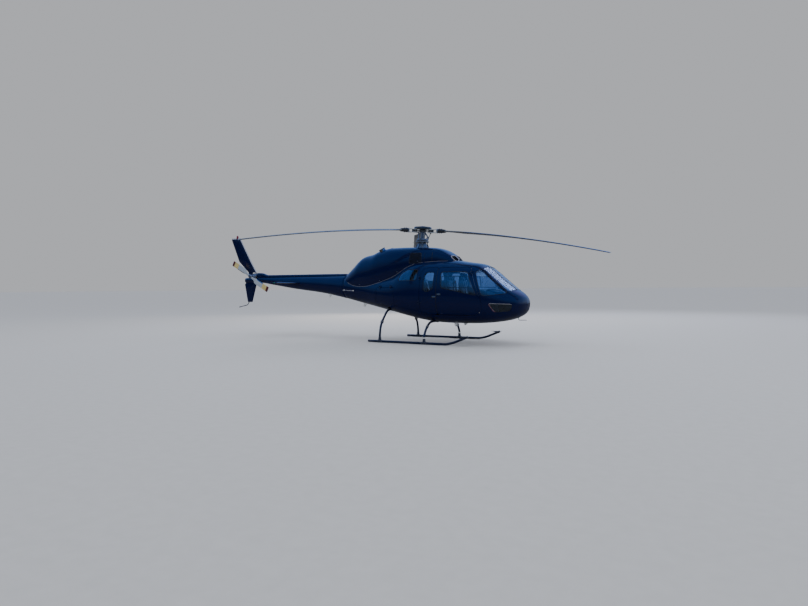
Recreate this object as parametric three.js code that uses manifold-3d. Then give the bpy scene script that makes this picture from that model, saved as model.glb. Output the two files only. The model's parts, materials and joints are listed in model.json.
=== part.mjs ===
// Light twin-engine helicopter on skids, in millimetres, +X to the nose, +Y to the left, +Z up.
// Stations are measured from the foot of the rotor mast, and the whole group is then shifted so that
// the origin lies on the ground under the middle of the overall length.
import * as THREE from 'three';
import { mergeVertices } from 'three/addons/utils/BufferGeometryUtils.js';
import Module from 'manifold-3d';

const wasm = await Module();
wasm.setup();

// Driving dimensions
const originShift = 1186.5; // mast foot ahead of the middle of the overall length
const fit = 0.3; // gap between pieces that touch
const doorGap = 9; // visible gap round a door
const flange = 12; // outer layer of a door
const plugInset = 30; // how far a door's inner layer stays inside its outline
const skin = 35; // thickness of cabin panels and doors
const floorTop = 800; // top of the floor structure
const doorSill = 815;
const doorHead = 2095;
const doorSplit = 950; // where front and rear door meet
const splitGap = 14;
const rearDoorAft = 430;
const bulkheadX = -350;
const boomRootX = -2600;
const splitNoseAft = [2150, 1225]; // the seam between nose shell and canopy frame
const splitNoseFore = [3300, 1375];
const cowlSeam = 359; // between gearbox cowl and engine cowl

const rotorRadius = 5345;
const rotorTilt = THREE.MathUtils.degToRad(2.77);
const hubHeight = 3205;
const hubX = 44;
const bladeDroop = 546;
const bladeChord = 350;
const bladeThick = 40;
const sleeveEnd = 511;
const bladeStart = sleeveEnd + fit;

const tailHub = [-6604, -260, 1968];
const tailRotorRadius = 930;
const tailChord = 185;
const tailBladeAngle = THREE.MathUtils.degToRad(27.5);

const skidTrackHalf = 1110;
const skidTube = 33;
const skidAft = -1150;
const skidBendX = 1450;
const skidToe = [1985, 255];
const frontTubeX = 680;
const rearTubeX = -755;
const crossTube = 32;
const channelTop = [660, 985]; // roofs of the channels that hold the front and rear cross tube
const channelTube = [610, 930]; // tube heights in them

// Body sections from the nose aft: x, bottom z, top z, half width, z of greatest width,
// squareness above and below it (2 is an ellipse)
const bodySections = [
  [3225, 1030, 1165, 90, 1100, 2, 2],
  [3208, 935, 1245, 240, 1100, 2, 2],
  [3155, 850, 1330, 395, 1105, 2, 2.1],
  [3060, 778, 1412, 535, 1112, 2.1, 2.2],
  [2920, 715, 1500, 660, 1125, 2.2, 2.3],
  [2740, 658, 1630, 755, 1140, 2.4, 2.4],
  [2500, 615, 1820, 830, 1160, 2.5, 2.5],
  [2250, 585, 2030, 880, 1190, 2.6, 2.6],
  [2090, 572, 2140, 900, 1210, 2.6, 2.6],
  [1930, 562, 2200, 915, 1220, 2.7, 2.6],
  [1600, 552, 2250, 930, 1240, 2.8, 2.6],
  [1200, 550, 2312, 935, 1250, 2.8, 2.6],
  [700, 568, 2340, 935, 1250, 2.8, 2.6],
  [200, 628, 2330, 925, 1260, 2.8, 2.5],
  [-200, 705, 2230, 900, 1280, 2.7, 2.4],
  [-350, 737, 2150, 880, 1290, 2.6, 2.4],
  [-700, 812, 1990, 800, 1320, 2.4, 2.3],
  [-1200, 915, 1930, 650, 1370, 2.2, 2.2],
  [-1800, 1040, 1930, 480, 1460, 2.1, 2.1],
  [-2600, 1215, 1945, 345, 1580, 2, 2],
];

// Engine deck cowls from the front aft: x, bottom z, top z, half width, squareness
const cowlSections = [
  [1215, 2060, 2345, 300, 3],
  [1100, 2040, 2450, 360, 3],
  [970, 2010, 2530, 410, 3],
  [815, 1980, 2612, 440, 3],
  [590, 1940, 2680, 465, 2.9],
  [359, 1880, 2705, 490, 2.8],
  [0, 1780, 2722, 530, 2.8],
  [-500, 1600, 2735, 580, 2.7],
  [-850, 1460, 2735, 600, 2.7],
  [-1250, 1340, 2680, 590, 2.6],
  [-1550, 1300, 2575, 555, 2.5],
  [-1900, 1300, 2500, 490, 2.4],
  [-2250, 1350, 2240, 400, 2.3],
  [-2560, 1450, 2000, 290, 2.2],
];

// Outlines in the side view as x, z
const frontDoorOutline = [
  [doorSplit + splitGap / 2, doorSill],
  [2100, doorSill],
  [2262, 960],
  [2262, 1170],
  [1870, doorHead],
  [doorSplit + splitGap / 2, doorHead],
];
const rearDoorOutline = [
  [rearDoorAft, doorSill],
  [doorSplit - splitGap / 2, doorSill],
  [doorSplit - splitGap / 2, doorHead],
  [rearDoorAft + 70, doorHead],
  [rearDoorAft, doorHead - 200],
];
const frontDoorWindow = [[1085, 1555], [1330, 1495], [2125, 1335], [1815, 1980], [1060, 1975]];
const rearDoorWindow = [[560, 1460], [690, 1430], [860, 1530], [860, 1975], [590, 1975], [540, 1760]];
const aftWindow = [[-330, 1750], [310, 1760], [310, 2060], [-100, 2060], [-290, 1930]];
const forwardWindow = [[2270, 1325], [2860, 1385], [2800, 1500], [2150, 2040], [2020, 1985]];
const chinWindow = [[2590, 900], [2960, 935], [3020, 1110], [2440, 1130]];
const baggageOutline = [[-1230, 1060], [-470, 960], [-430, 1560], [-1180, 1560]];
const baggageDepth = 330; // how near the bay comes to the middle
const bayWall = 40;
const bodySkin = 60;
const cowlSkin = 20;

// Tail boom sections from the root aft: x, bottom z, top z, half width
const boomSections = [
  [-2600, 1215, 1945, 345],
  [-3618, 1396, 1937, 262],
  [-4810, 1534, 1935, 195],
  [-5804, 1674, 1932, 130],
  [-6330, 1742, 1930, 98],
  [-7060, 1748, 1915, 62],
];
const boomHollow = 40;
const shaftCover = [[-2700, 1750, 1996, 95], [-3200, 1800, 2000, 85], [-6000, 1850, 2004, 72],
  [-6280, 1850, 2075, 72], [-6490, 1850, 2085, 60]];

// Fin and stabiliser sections: height or span, leading edge x, trailing edge x, thickness
const upperFinSections = [[2100, -6545, -6925, 46], [2497, -6795, -7378, 52], [3290, -7290, -7738, 36],
  [3330, -7330, -7730, 16]];
const lowerFinSections = [[1076, -6766, -6986, 26], [1100, -6758, -6992, 36], [1690, -6562, -7117, 50],
  [1765, -6550, -7050, 50]];
const stabiliserSpan = 2530;
const stabiliserChord = [-4445, -4950];
const stabiliserHeight = 1725;

// Door hinges: axis from and to as x, distance from the middle, z; places along it; arm directions
const hinges = {
  front_door: { from: [2204, 915, 1310], to: [1875, 795, 2085], places: [0.08, 0.82], ahead: [62, 18] },
  rear_door: { from: [430, 968, 1050], to: [430, 902, 1950], places: [0.1, 0.85], ahead: [-52, 0] },
  baggage_door: { from: [-470, 868, 1574], to: [-1160, 672, 1574], places: [0.15, 0.8], ahead: [0, 50] },
};
const knuckle = 11;
const knuckleHalf = 20;

// The windscreen in its own plane: y, distance up the slope
const windscreenOutline = [[32, 30], [470, 60], [500, 300], [455, 1040], [32, 1075]];
const windscreenFoot = [2945, 1415];
const windscreenSlope = THREE.MathUtils.degToRad(38.5);

const paint = { color: 0x0b0f24, roughness: 0.2, metalness: 0.1 };
const glassLook = { color: 0x1a2530, roughness: 0.05, metalness: 0 };
const steel = { color: 0x8a8f94, roughness: 0.4, metalness: 0.9 };
const bladeLook = { color: 0x3a3d42, roughness: 0.5, metalness: 0 };
const cloth = { color: 0x2a2c30, roughness: 0.9, metalness: 0 };
const plastic = { color: 0x15171a, roughness: 0.6, metalness: 0 };

// A closed body from a geometry
function solidOf(geometry) {
  const bare = geometry.clone();
  bare.deleteAttribute('normal');
  bare.deleteAttribute('uv');
  const merged = mergeVertices(bare, 1e-3);
  return new wasm.Manifold(new wasm.Mesh({
    numProp: 3,
    vertProperties: new Float32Array(merged.attributes.position.array),
    triVerts: new Uint32Array(merged.index.array),
  }));
}

function geometryOf(solid) {
  const mesh = solid.getMesh();
  const geometry = new THREE.BufferGeometry();
  geometry.setAttribute('position', new THREE.BufferAttribute(mesh.vertProperties, 3));
  geometry.setIndex(new THREE.BufferAttribute(mesh.triVerts, 1));
  return geometry;
}

function joined(solids) {
  return solids.reduce((sum, next) => sum.add(next));
}

// A closed body through rings of equal length, each ring a list of Vector3
function loft(rings) {
  const count = rings[0].length;
  const points = rings.flat().flatMap((p) => [p.x, p.y, p.z]);
  const index = [];
  for (let ring = 0; ring < rings.length - 1; ring += 1) {
    for (let i = 0; i < count; i += 1) {
      const a = ring * count + i;
      const b = ring * count + ((i + 1) % count);
      index.push(a, b, b + count, a, b + count, a + count);
    }
  }
  const last = (rings.length - 1) * count;
  for (let i = 1; i < count - 1; i += 1) {
    index.push(0, i + 1, i, last, last + i, last + i + 1);
  }
  const geometry = new THREE.BufferGeometry();
  geometry.setAttribute('position', new THREE.Float32BufferAttribute(points, 3));
  geometry.setIndex(index);
  const solid = solidOf(geometry);
  if (solid.volume() > 0) return solid;
  geometry.setIndex(index.reverse());
  return solidOf(geometry);
}

// One ring across the x axis; squareness above and below the widest height
function ringAcross(x, bottom, top, half, wide, above, below, count = 28) {
  return Array.from({ length: count }, (_, i) => {
    const angle = (2 * Math.PI * (i + 0.5)) / count;
    const up = Math.sin(angle);
    const side = Math.cos(angle);
    const power = 2 / (up > 0 ? above : below);
    const y = half * Math.sign(side) * Math.abs(side) ** power;
    const reach = up > 0 ? top - wide : wide - bottom;
    return new THREE.Vector3(x, y, wide + reach * Math.sign(up) * Math.abs(up) ** power);
  });
}

// The body at a depth under its outer face
function body(inset) {
  return loft(bodySections.map(([x, bottom, top, half, wide, above, below], i) => {
    const near = i === 0 ? Math.min(inset * 0.7, half - 5) : Math.min(inset, half - 5);
    const tall = Math.min(near, (top - bottom) / 2 - 10);
    return ringAcross(x - (i < 3 ? inset * (1 - i / 3) : 0), bottom + tall, top - tall, half - near,
      wide, above, below);
  }));
}

function cowl(inset) {
  return loft(cowlSections.map(([x, bottom, top, half, square], i) => {
    const wide = bottom + (top - bottom) * 0.5;
    return ringAcross(x - (i === 0 ? inset : 0), bottom, top - inset, half - inset, wide,
      square, square, 20);
  }));
}

// An outline in the side view, extruded across from y0 to y1
function sidePrism(outline, y0, y1) {
  const shape = new THREE.Shape(outline.map(([x, z]) => new THREE.Vector2(x, z)));
  const geometry = new THREE.ExtrudeGeometry(shape, { depth: y1 - y0, bevelEnabled: false });
  geometry.rotateX(Math.PI / 2);
  geometry.translate(0, y1, 0);
  return solidOf(geometry);
}

// The same outline on one side of the body only
function sideCut(outline, side, inner = 250) {
  return side > 0 ? sidePrism(outline, inner, 1300) : sidePrism(outline, -1300, -inner);
}

function block(x0, x1, y0, y1, z0, z1) {
  const geometry = new THREE.BoxGeometry(x1 - x0, y1 - y0, z1 - z0);
  geometry.translate((x0 + x1) / 2, (y0 + y1) / 2, (z0 + z1) / 2);
  return solidOf(geometry);
}

// An outline shrunk by a distance all round (negative grows it)
function inset(outline, distance) {
  const area = THREE.ShapeUtils.area(outline.map(([x, y]) => new THREE.Vector2(x, y)));
  const turn = Math.sign(area);
  return outline.map((point, i) => {
    const before = outline[(i + outline.length - 1) % outline.length];
    const after = outline[(i + 1) % outline.length];
    const normal = ([ax, ay], [bx, by]) => {
      const long = Math.hypot(bx - ax, by - ay);
      return [(-turn * (by - ay)) / long, (turn * (bx - ax)) / long];
    };
    const a = normal(before, point);
    const b = normal(point, after);
    const scale = distance / (1 + a[0] * b[0] + a[1] * b[1]);
    return [point[0] + (a[0] + b[0]) * scale, point[1] + (a[1] + b[1]) * scale];
  });
}

// An outline with its corners rounded by short arcs
function rounded(outline, radius, steps = 3) {
  const points = [];
  outline.forEach((point, i) => {
    const corner = new THREE.Vector2(...point);
    const before = new THREE.Vector2(...outline[(i + outline.length - 1) % outline.length]);
    const after = new THREE.Vector2(...outline[(i + 1) % outline.length]);
    const inDir = before.clone().sub(corner);
    const outDir = after.clone().sub(corner);
    const reach = Math.min(radius, inDir.length() * 0.45, outDir.length() * 0.45);
    const from = corner.clone().add(inDir.setLength(reach));
    const to = corner.clone().add(outDir.setLength(reach));
    const curve = new THREE.QuadraticBezierCurve(from, corner, to);
    curve.getPoints(steps).forEach((p) => points.push([p.x, p.y]));
  });
  return points;
}

// A round bar between two points
function bar(from, to, radius, sides = 16, endRadius = radius) {
  const start = new THREE.Vector3(...from);
  const end = new THREE.Vector3(...to);
  const geometry = new THREE.CylinderGeometry(endRadius, radius, start.distanceTo(end), sides);
  const turn = new THREE.Quaternion().setFromUnitVectors(
    new THREE.Vector3(0, 1, 0), end.clone().sub(start).normalize());
  geometry.applyQuaternion(turn);
  geometry.translate(...start.add(end).multiplyScalar(0.5).toArray());
  return solidOf(geometry);
}

// Half width of the body's outer face at a station and height
function faceY(x, z) {
  const i = bodySections.findIndex((section, k) => k > 0 && section[0] <= x);
  const [a, b] = [bodySections[i - 1], bodySections[i]];
  const share = (x - a[0]) / (b[0] - a[0]);
  const [, bottom, top, half, wide, above, below] = a.map((value, k) => value + (b[k] - value) * share);
  const up = z > wide;
  const reach = Math.abs(z - wide) / (up ? top - wide : wide - bottom);
  const square = up ? above : below;
  return half * (1 - reach ** square) ** (1 / square);
}

// Knuckles of a door's hinges: middle ones with arms to the door, outer ones with arms to the frame
function hingeSet(name, side) {
  const { from, to, places, ahead } = hinges[name];
  const start = new THREE.Vector3(from[0], from[1] * side, from[2]);
  const end = new THREE.Vector3(to[0], to[1] * side, to[2]);
  const along = end.clone().sub(start).normalize();
  const doorArms = [];
  const frameArms = [];
  for (const place of places) {
    const middle = start.clone().lerp(end, place);
    const at = (shift) => middle.clone().addScaledVector(along, shift);
    const root = (origin, direction) => {
      const x = origin.x + ahead[0] * direction;
      const z = origin.z + ahead[1] * direction;
      return [x, side * (faceY(x, z) - 14), z];
    };
    const half = knuckleHalf;
    doorArms.push(bar(at(-half).toArray(), at(half).toArray(), knuckle, 8));
    doorArms.push(bar(middle.toArray(), root(middle, -1), 8, 6));
    for (const way of [-1, 1]) {
      const outerMiddle = at(way * (half + 12));
      frameArms.push(bar(at(way * (half + fit)).toArray(), at(way * (half + 24)).toArray(), knuckle, 8));
      frameArms.push(bar(outerMiddle.toArray(), root(outerMiddle, 1), 7, 6));
    }
  }
  return { doorArms, frameArms };
}

// One aerofoil section as points along the chord and across it, from leading edge at +0.3 chord,
// grown by a distance all round
function aerofoil(chord, thick, count = 7, grow = 0) {
  const upper = [];
  const lower = [];
  for (let i = 0; i <= count; i += 1) {
    const s = 0.5 * (1 - Math.cos((Math.PI * i) / count));
    const t = thick * 2.6 * (0.2969 * Math.sqrt(s) - 0.126 * s - 0.3516 * s * s
      + 0.2843 * s ** 3 - 0.095 * s ** 4) * 1.95 + 1.2;
    const along = (0.3 - s) * chord + grow * (1 - 2 * s);
    upper.push([along, t / 1.02 + (i > 0 ? grow : 0)]);
    if (i > 0) lower.push([along, -t / 1.02 - grow]);
  }
  return [...upper, ...lower.reverse()];
}

const aircraft = new THREE.Group();
aircraft.position.x = originShift;

function piece(name, solid, look, parent = aircraft) {
  const mesh = new THREE.Mesh(geometryOf(solid), new THREE.MeshStandardMaterial(look));
  mesh.name = name;
  parent.add(mesh);
  return mesh;
}

const outer = body(0);
const flangeFace = body(flange);
const inner = body(skin);
const shell = outer.subtract(inner);
const sideName = { '-1': 'right', 1: 'left' };
const sides = [-1, 1];

// Openings for all doors and windows
const frontDoorShape = rounded(frontDoorOutline, 90);
const rearDoorShape = rounded(rearDoorOutline, 60);
const windowRound = 70;
const doorOpenings = joined([
  sidePrism(inset(frontDoorShape, -doorGap), -1300, -250),
  sidePrism(inset(frontDoorShape, -doorGap), 250, 1300),
  sidePrism(inset(rearDoorShape, -doorGap), -1300, -250),
  sidePrism(inset(rearDoorShape, -doorGap), 250, 1300),
]);

// Panes follow the body, a little under its face, and fill their opening to the fit gap
const paneLayer = body(5).subtract(body(12));

function windowCut(outline, side, from) {
  return sideCut(rounded(outline, windowRound), side, from);
}

function pane(name, outline, side, from) {
  const cut = sideCut(inset(rounded(outline, windowRound), fit), side, from);
  return piece(name, paneLayer.intersect(cut), glassLook);
}

// Belly structure and floor
const whole = [-4000, 4000];
const bellyCut = block(bulkheadX, whole[1], -1300, 1300, 0, floorTop);
const frontChannel = block(frontTubeX - 50, frontTubeX + 50, -1300, 1300, 0, channelTop[0]);
piece('belly_structure', outer.intersect(bellyCut).subtract(frontChannel), paint);

// Nose shell, below the seam under the windscreen
const noseOutline = [[2000, floorTop + fit], [3400, floorTop + fit], splitNoseFore, splitNoseAft,
  [2000, splitNoseAft[1]]];
const chinCuts = joined(sides.map((side) => windowCut(chinWindow, side, 200)));
const noseShell = shell.intersect(sidePrism(noseOutline, -1300, 1300))
  .subtract(doorOpenings).subtract(chinCuts);
piece('nose_shell', noseShell, paint);

// Canopy frame: roof, door posts, windscreen posts and centre post
function windscreenPrism(side, gap) {
  const outline = inset(rounded(windscreenOutline.map(([y, s]) => [y * side, s]), 50), gap);
  const shape = new THREE.Shape(outline.map(([y, s]) => new THREE.Vector2(y, s)));
  const geometry = new THREE.ExtrudeGeometry(shape, { depth: 900, bevelEnabled: false });
  const up = new THREE.Vector3(-Math.cos(windscreenSlope), 0, Math.sin(windscreenSlope));
  const across = new THREE.Vector3(0, 1, 0);
  const out = new THREE.Vector3().crossVectors(across, up);
  const frame = new THREE.Matrix4().makeBasis(across, up, out);
  const foot = new THREE.Vector3(windscreenFoot[0], 0, windscreenFoot[1]).addScaledVector(out, -450);
  frame.setPosition(foot);
  geometry.applyMatrix4(frame);
  return solidOf(geometry);
}
const roofCut = sidePrism([[bulkheadX, doorHead + 25], [1760, doorHead + 25], [1880, splitNoseAft[1] + fit],
  [splitNoseAft[0], splitNoseAft[1] + fit], [splitNoseFore[0], splitNoseFore[1] + fit],
  [3400, 2500], [bulkheadX, 2500]], -1300, 1300);
const canopyOpenings = joined([
  ...sides.map((side) => windowCut(forwardWindow, side, 548)),
  ...sides.map((side) => windscreenPrism(side, 0)),
]);
const canopyHinges = sides.flatMap((side) => hingeSet('front_door', side).frameArms);
piece('canopy_frame', joined([shell.intersect(roofCut).subtract(doorOpenings).subtract(canopyOpenings),
  ...canopyHinges]), paint);
for (const side of sides) {
  const name = sideName[side];
  piece(`windscreen_${name}`, paneLayer.intersect(windscreenPrism(side, fit)), glassLook);
  pane(`forward_window_${name}`, forwardWindow, side, 548 + fit);
  pane(`chin_window_${name}`, chinWindow, side, 200);
}

// Aft side panels with the aft windows
for (const side of sides) {
  const outline = [[bulkheadX, floorTop + fit], [doorSplit - 60, floorTop + fit],
    [doorSplit - 60, doorHead + 25 - fit], [bulkheadX, doorHead + 25 - fit]];
  const panel = shell.intersect(sideCut(outline, side, 100)).subtract(doorOpenings)
    .subtract(windowCut(aftWindow, side));
  piece(`aft_side_panel_${sideName[side]}`, joined([panel, ...hingeSet('rear_door', side).frameArms]), paint);
  pane(`aft_window_${sideName[side]}`, aftWindow, side);
}

// Bulkhead behind the cabin
const lining = body(skin + fit);
piece('cabin_bulkhead', lining.intersect(block(bulkheadX, bulkheadX + 30, -1300, 1300, floorTop + fit, 2600)),
  plastic);

// Doors: an outer flange to the outline and an inner layer set in from it
function door(kind, outline, hole, side) {
  const layer = shell.intersect(sideCut(outline, side));
  const step = flangeFace.subtract(sideCut(inset(outline, plugInset), side));
  const opening = windowCut(hole, side);
  const leaf = layer.subtract(step).subtract(opening);
  piece(`${kind}_${sideName[side]}`, joined([leaf, ...hingeSet(kind, side).doorArms]), paint);
}
for (const side of sides) {
  const name = sideName[side];
  door('front_door', frontDoorShape, frontDoorWindow, side);
  pane(`front_door_glass_${name}`, frontDoorWindow, side);
  door('rear_door', rearDoorShape, rearDoorWindow, side);
  pane(`rear_door_glass_${name}`, rearDoorWindow, side);
}

// Rear body, hollow and open at both ends, with a baggage bay on each side
const baggageShape = rounded(baggageOutline, 70);
const rearCut = block(whole[0], bulkheadX - fit, -1300, 1300, 0, 2600);
let rearBody = outer.subtract(body(bodySkin));
for (const side of sides) {
  const bay = sideCut(inset(baggageShape, -bayWall), side, baggageDepth - bayWall);
  rearBody = rearBody.add(outer.intersect(bay));
}
rearBody = rearBody.add(outer.intersect(block(rearTubeX - 110, rearTubeX + 110, -620, 620, 0, 1020)));
rearBody = rearBody.subtract(block(rearTubeX - 50, rearTubeX + 50, -1300, 1300, 0, channelTop[1]));
for (const side of sides) {
  rearBody = rearBody
    .subtract(sideCut(inset(baggageShape, -doorGap), side).subtract(body(skin + 6)))
    .subtract(sideCut(inset(baggageShape, 25), side, baggageDepth));
}
const baggageHinges = sides.flatMap((side) => hingeSet('baggage_door', side).frameArms);
piece('rear_body', joined([rearBody.intersect(rearCut), ...baggageHinges]), paint);
for (const side of sides) {
  const layer = outer.subtract(inner).intersect(sideCut(baggageShape, side));
  const step = flangeFace.subtract(sideCut(inset(baggageShape, plugInset), side));
  const arms = hingeSet('baggage_door', side).doorArms;
  piece(`baggage_door_${sideName[side]}`, joined([layer.subtract(step), ...arms]), paint);
}

// Deck cowls over gearbox and engines, open below, with intake mouths and room for mast and exhausts
const bodyFit = body(-fit);
const cowlShell = cowl(0).subtract(cowl(cowlSkin)).subtract(bodyFit);
const mastHole = bar([18, 0, 2500], [18, 0, 2900], 224, 28);
const intakes = joined(sides.map((side) => (
  block(900, 1300, side > 0 ? 25 : -285, side > 0 ? 285 : -25, 2345, 2455))));
const exhaustFoot = [-1080, 185, 2430];
const exhaustTip = [-1200, 290, 2715];
const exhaustRadius = 95;
// A bar along the exhaust axis, from and to as shares of its length
function exhaustBar(side, from, to, radius) {
  const at = (share) => [0, 1, 2].map((k) => (
    (exhaustFoot[k] + (exhaustTip[k] - exhaustFoot[k]) * share) * (k === 1 ? side : 1)));
  return bar(at(from), at(to), radius, 16);
}
const exhaustHoles = joined(sides.map((side) => exhaustBar(side, 0, 1.4, exhaustRadius + fit)));
piece('gearbox_cowl', cowlShell.intersect(block(cowlSeam + fit, 1300, -800, 800, 1900, 2900))
  .subtract(mastHole).subtract(intakes), paint);
const rearCowl = cowlShell.intersect(block(-2600, cowlSeam, -800, 800, 1500, 2900));
piece('engine_cowl', rearCowl.subtract(mastHole).subtract(exhaustHoles), paint);

// Main gearbox with the mast housing, and the two engines, each one plain block
const tilt = (x, z) => [hubX + x * Math.cos(rotorTilt) + z * Math.sin(rotorTilt), 0,
  hubHeight - x * Math.sin(rotorTilt) + z * Math.cos(rotorTilt)];
const housing = joined([
  bar(tilt(0, -760), tilt(0, -500), 180, 20),
  bar(tilt(0, -520), tilt(0, -318), 176, 20, 104),
  bar(tilt(0, -335), tilt(0, -298), 195, 20),
  ...[60, 180, 300].map((degrees) => {
    const angle = THREE.MathUtils.degToRad(degrees);
    const foot = tilt(178 * Math.cos(angle), -560);
    const head = tilt(178 * Math.cos(angle), -320);
    const across = 178 * Math.sin(angle);
    return bar([foot[0], across, foot[2]], [head[0], across, head[2]], 26, 8);
  }),
]).subtract(bar(tilt(0, -600), tilt(0, -280), 62, 16));
const gearbox = block(-280, 280, -250, 250, 2200, 2500).subtract(bodyFit);
piece('main_gearbox', gearbox.add(housing.subtract(bodyFit)), steel);
for (const side of sides) {
  const near = side > 0 ? 60 : -400;
  const engine = block(-1500, -560, near, near + 340, 1850, 2380).subtract(bodyFit);
  piece(`engine_${sideName[side]}`, engine, steel);
  const foot = [exhaustFoot[0], exhaustFoot[1] * side, exhaustFoot[2]];
  const pipe = exhaustBar(side, 0, 1, exhaustRadius).add(bar([foot[0], foot[1], 2380 + fit], foot, 88, 16))
    .subtract(exhaustBar(side, 0.25, 1.2, exhaustRadius - 9));
  piece(`exhaust_${sideName[side]}`, pipe, steel);
}

// Tail boom with its drive shaft cover
function stabiliserLoft(span, grow) {
  const [lead, trail] = stabiliserChord;
  return loft([-1, 1].map((end) => aerofoil(lead - trail, 48, 7, grow).map(([x, z]) => new THREE.Vector3(
    lead - (lead - trail) * 0.3 + x, (end * span) / 2, stabiliserHeight - z))));
}
function boom(inset) {
  return loft(boomSections.map(([x, bottom, top, half], i) => ringAcross(
    x + (i === 0 ? -fit : 0), bottom + inset, top - inset, half - inset, (bottom + top) / 2, 2, 2, 20)));
}
const cover = loft(shaftCover.map(([x, bottom, top, half]) => ringAcross(
  x, bottom, top, half, (bottom + top) / 2, 4, 4, 12)));
const hollow = boom(boomHollow).intersect(block(-5600, boomRootX + 10, -400, 400, 1000, 2100));
piece('tail_boom', boom(0).subtract(hollow).add(cover).subtract(stabiliserLoft(800, fit)), paint);
piece('stabiliser', stabiliserLoft(stabiliserSpan, 0), paint);

// Fins, tail skid and beacon
function fin(sections) {
  return loft(sections.map(([z, lead, trail, thick]) => aerofoil(lead - trail, thick).map(([x, y]) => (
    new THREE.Vector3(lead - (lead - trail) * 0.3 + x, y, z)))));
}
const finFoot = block(-6920, -6745, -25, 25, 1880, 2110);
piece('upper_fin', fin(upperFinSections).add(finFoot).add(bar([-7450, 0, 3290], [-7450, 0, 3420], 38, 16, 26))
  .subtract(boom(-fit)), paint);
const tailSkid = joined([
  bar([-6895, 0, 1110], [-7020, 0, 968], 14, 12),
  bar([-7015, 0, 972], [-7400, 0, 900], 14, 12),
]);
piece('lower_fin', fin(lowerFinSections).add(tailSkid).subtract(boom(-fit)), paint);

// Tail gearbox on the end of the boom, with its output shaft housing to the right
const [tailX, tailY, tailZ] = tailHub;
const tailCase = joined([
  bar([tailX, 95, tailZ], [tailX, -120, tailZ], 100, 24),
  bar([tailX, -110, tailZ], [tailX, -190, tailZ], 60, 20, 42),
]).subtract(bar([tailX, -130, tailZ], [tailX, -200, tailZ], 22, 16));
piece('tail_gearbox', tailCase.subtract(boom(-fit)).subtract(cover).subtract(finFoot), steel);

// Tail rotor about the y axis
const tailRotor = new THREE.Group();
tailRotor.position.set(tailX, tailY, tailZ);
tailRotor.rotation.y = tailBladeAngle;
aircraft.add(tailRotor);
const tailBlades = [1, -1].map((end) => loft([
  [40, 60, 26], [170, 70, 24], [300, tailChord, 22], [tailRotorRadius, tailChord, 18],
].map(([r, chord, thick]) => aerofoil(chord, thick, 6).map(([x, y]) => (
  new THREE.Vector3(end * r, y, (x - chord * 0.02) * end))))));
piece('tail_rotor', joined([...tailBlades, bar([0, -45, 0], [0, 40, 0], 62, 20),
  bar([0, 30, 0], [0, 130 - fit, 0], 19, 16)]), bladeLook, tailRotor);

// Rotor head: mast, rotating swashplate, pitch links, star and sleeves
const rotor = new THREE.Group();
rotor.position.set(hubX, 0, hubHeight);
rotor.rotation.y = rotorTilt;
aircraft.add(rotor);
const bladeTurns = [0, (2 * Math.PI) / 3, (-2 * Math.PI) / 3];
const turned = (angle, r, across) => [
  r * Math.cos(angle) - across * Math.sin(angle), r * Math.sin(angle) + across * Math.cos(angle)];

// A plate seen from above, turned about the mast
function plate(outline, angle, z0, z1) {
  const shape = new THREE.Shape(outline.map(([r, across]) => new THREE.Vector2(...turned(angle, r, across))));
  const geometry = new THREE.ExtrudeGeometry(shape, { depth: z1 - z0, bevelEnabled: false });
  geometry.translate(0, 0, z0);
  return solidOf(geometry);
}
const arm = [[0, -95], [130, -80], [340, -48], [340, 48], [130, 80], [0, 95]];
const sleeve = [[150, -62], [sleeveEnd - 1, -50], [sleeveEnd - 1, 50], [150, 62]];
const headParts = [
  bar([0, 0, -600 + fit], [0, 0, 60], 52, 16),
  bar([0, 0, 15], [0, 0, 60], 95, 18, 75),
  bar([0, 0, 45], [0, 0, 112], 262, 24, 240),
  bar([0, 0, 100], [0, 0, 135], 90, 16, 60),
  bar([0, 0, -285], [0, 0, -225], 175, 20, 150),
];
for (const angle of bladeTurns) {
  headParts.push(plate(arm, angle, -22, 18));
  headParts.push(plate(sleeve, angle, 26, 44));
  headParts.push(plate(sleeve, angle, -62, -44));
  headParts.push(plate([[180, -42], [300, -42], [300, 42], [180, 42]], angle, -50, 35));
  headParts.push(plate([[465, -46], [sleeveEnd, -46], [sleeveEnd, 46], [465, 46]], angle, -62, 44));
  const low = [...turned(angle, 120, 110), -250];
  const high = [...turned(angle, 200, 118), -50];
  headParts.push(bar(low, high, 16, 8));
  headParts.push(plate([[180, 40], [225, 40], [225, 140], [180, 140]], angle, -62, -44));
}
piece('rotor_head', joined(headParts), steel, rotor);

// Main blades, drooping under their weight: radius, chord, thickness, twist in degrees
const bladeSections = [[bladeStart, 120, 120, 0], [735, 125, 105, 0], [800, 115, 46, 3], [1000, 210, 42, 6],
  [1250, bladeChord, bladeThick, 6], [2300, bladeChord, bladeThick, 4], [3300, bladeChord, 36, 2],
  [4300, bladeChord, 34, 0], [rotorRadius, bladeChord, 30, -2]];
function droop(r) {
  const s = (r - bladeStart) / (rotorRadius - bladeStart);
  return -bladeDroop * (0.4 * s + 0.6 * s * s);
}
bladeTurns.forEach((angle, i) => {
  const rings = bladeSections.map(([r, chord, thick, twist]) => aerofoil(chord, thick, 6).map(([x, z]) => {
    const pitch = THREE.MathUtils.degToRad(twist);
    const across = -(x * Math.cos(pitch) - z * Math.sin(pitch));
    const height = x * Math.sin(pitch) + z * Math.cos(pitch);
    return new THREE.Vector3(...turned(angle, r, across), droop(r) + height - 2);
  }));
  piece(`blade_${i + 1}`, loft(rings), bladeLook, rotor);
});

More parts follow.
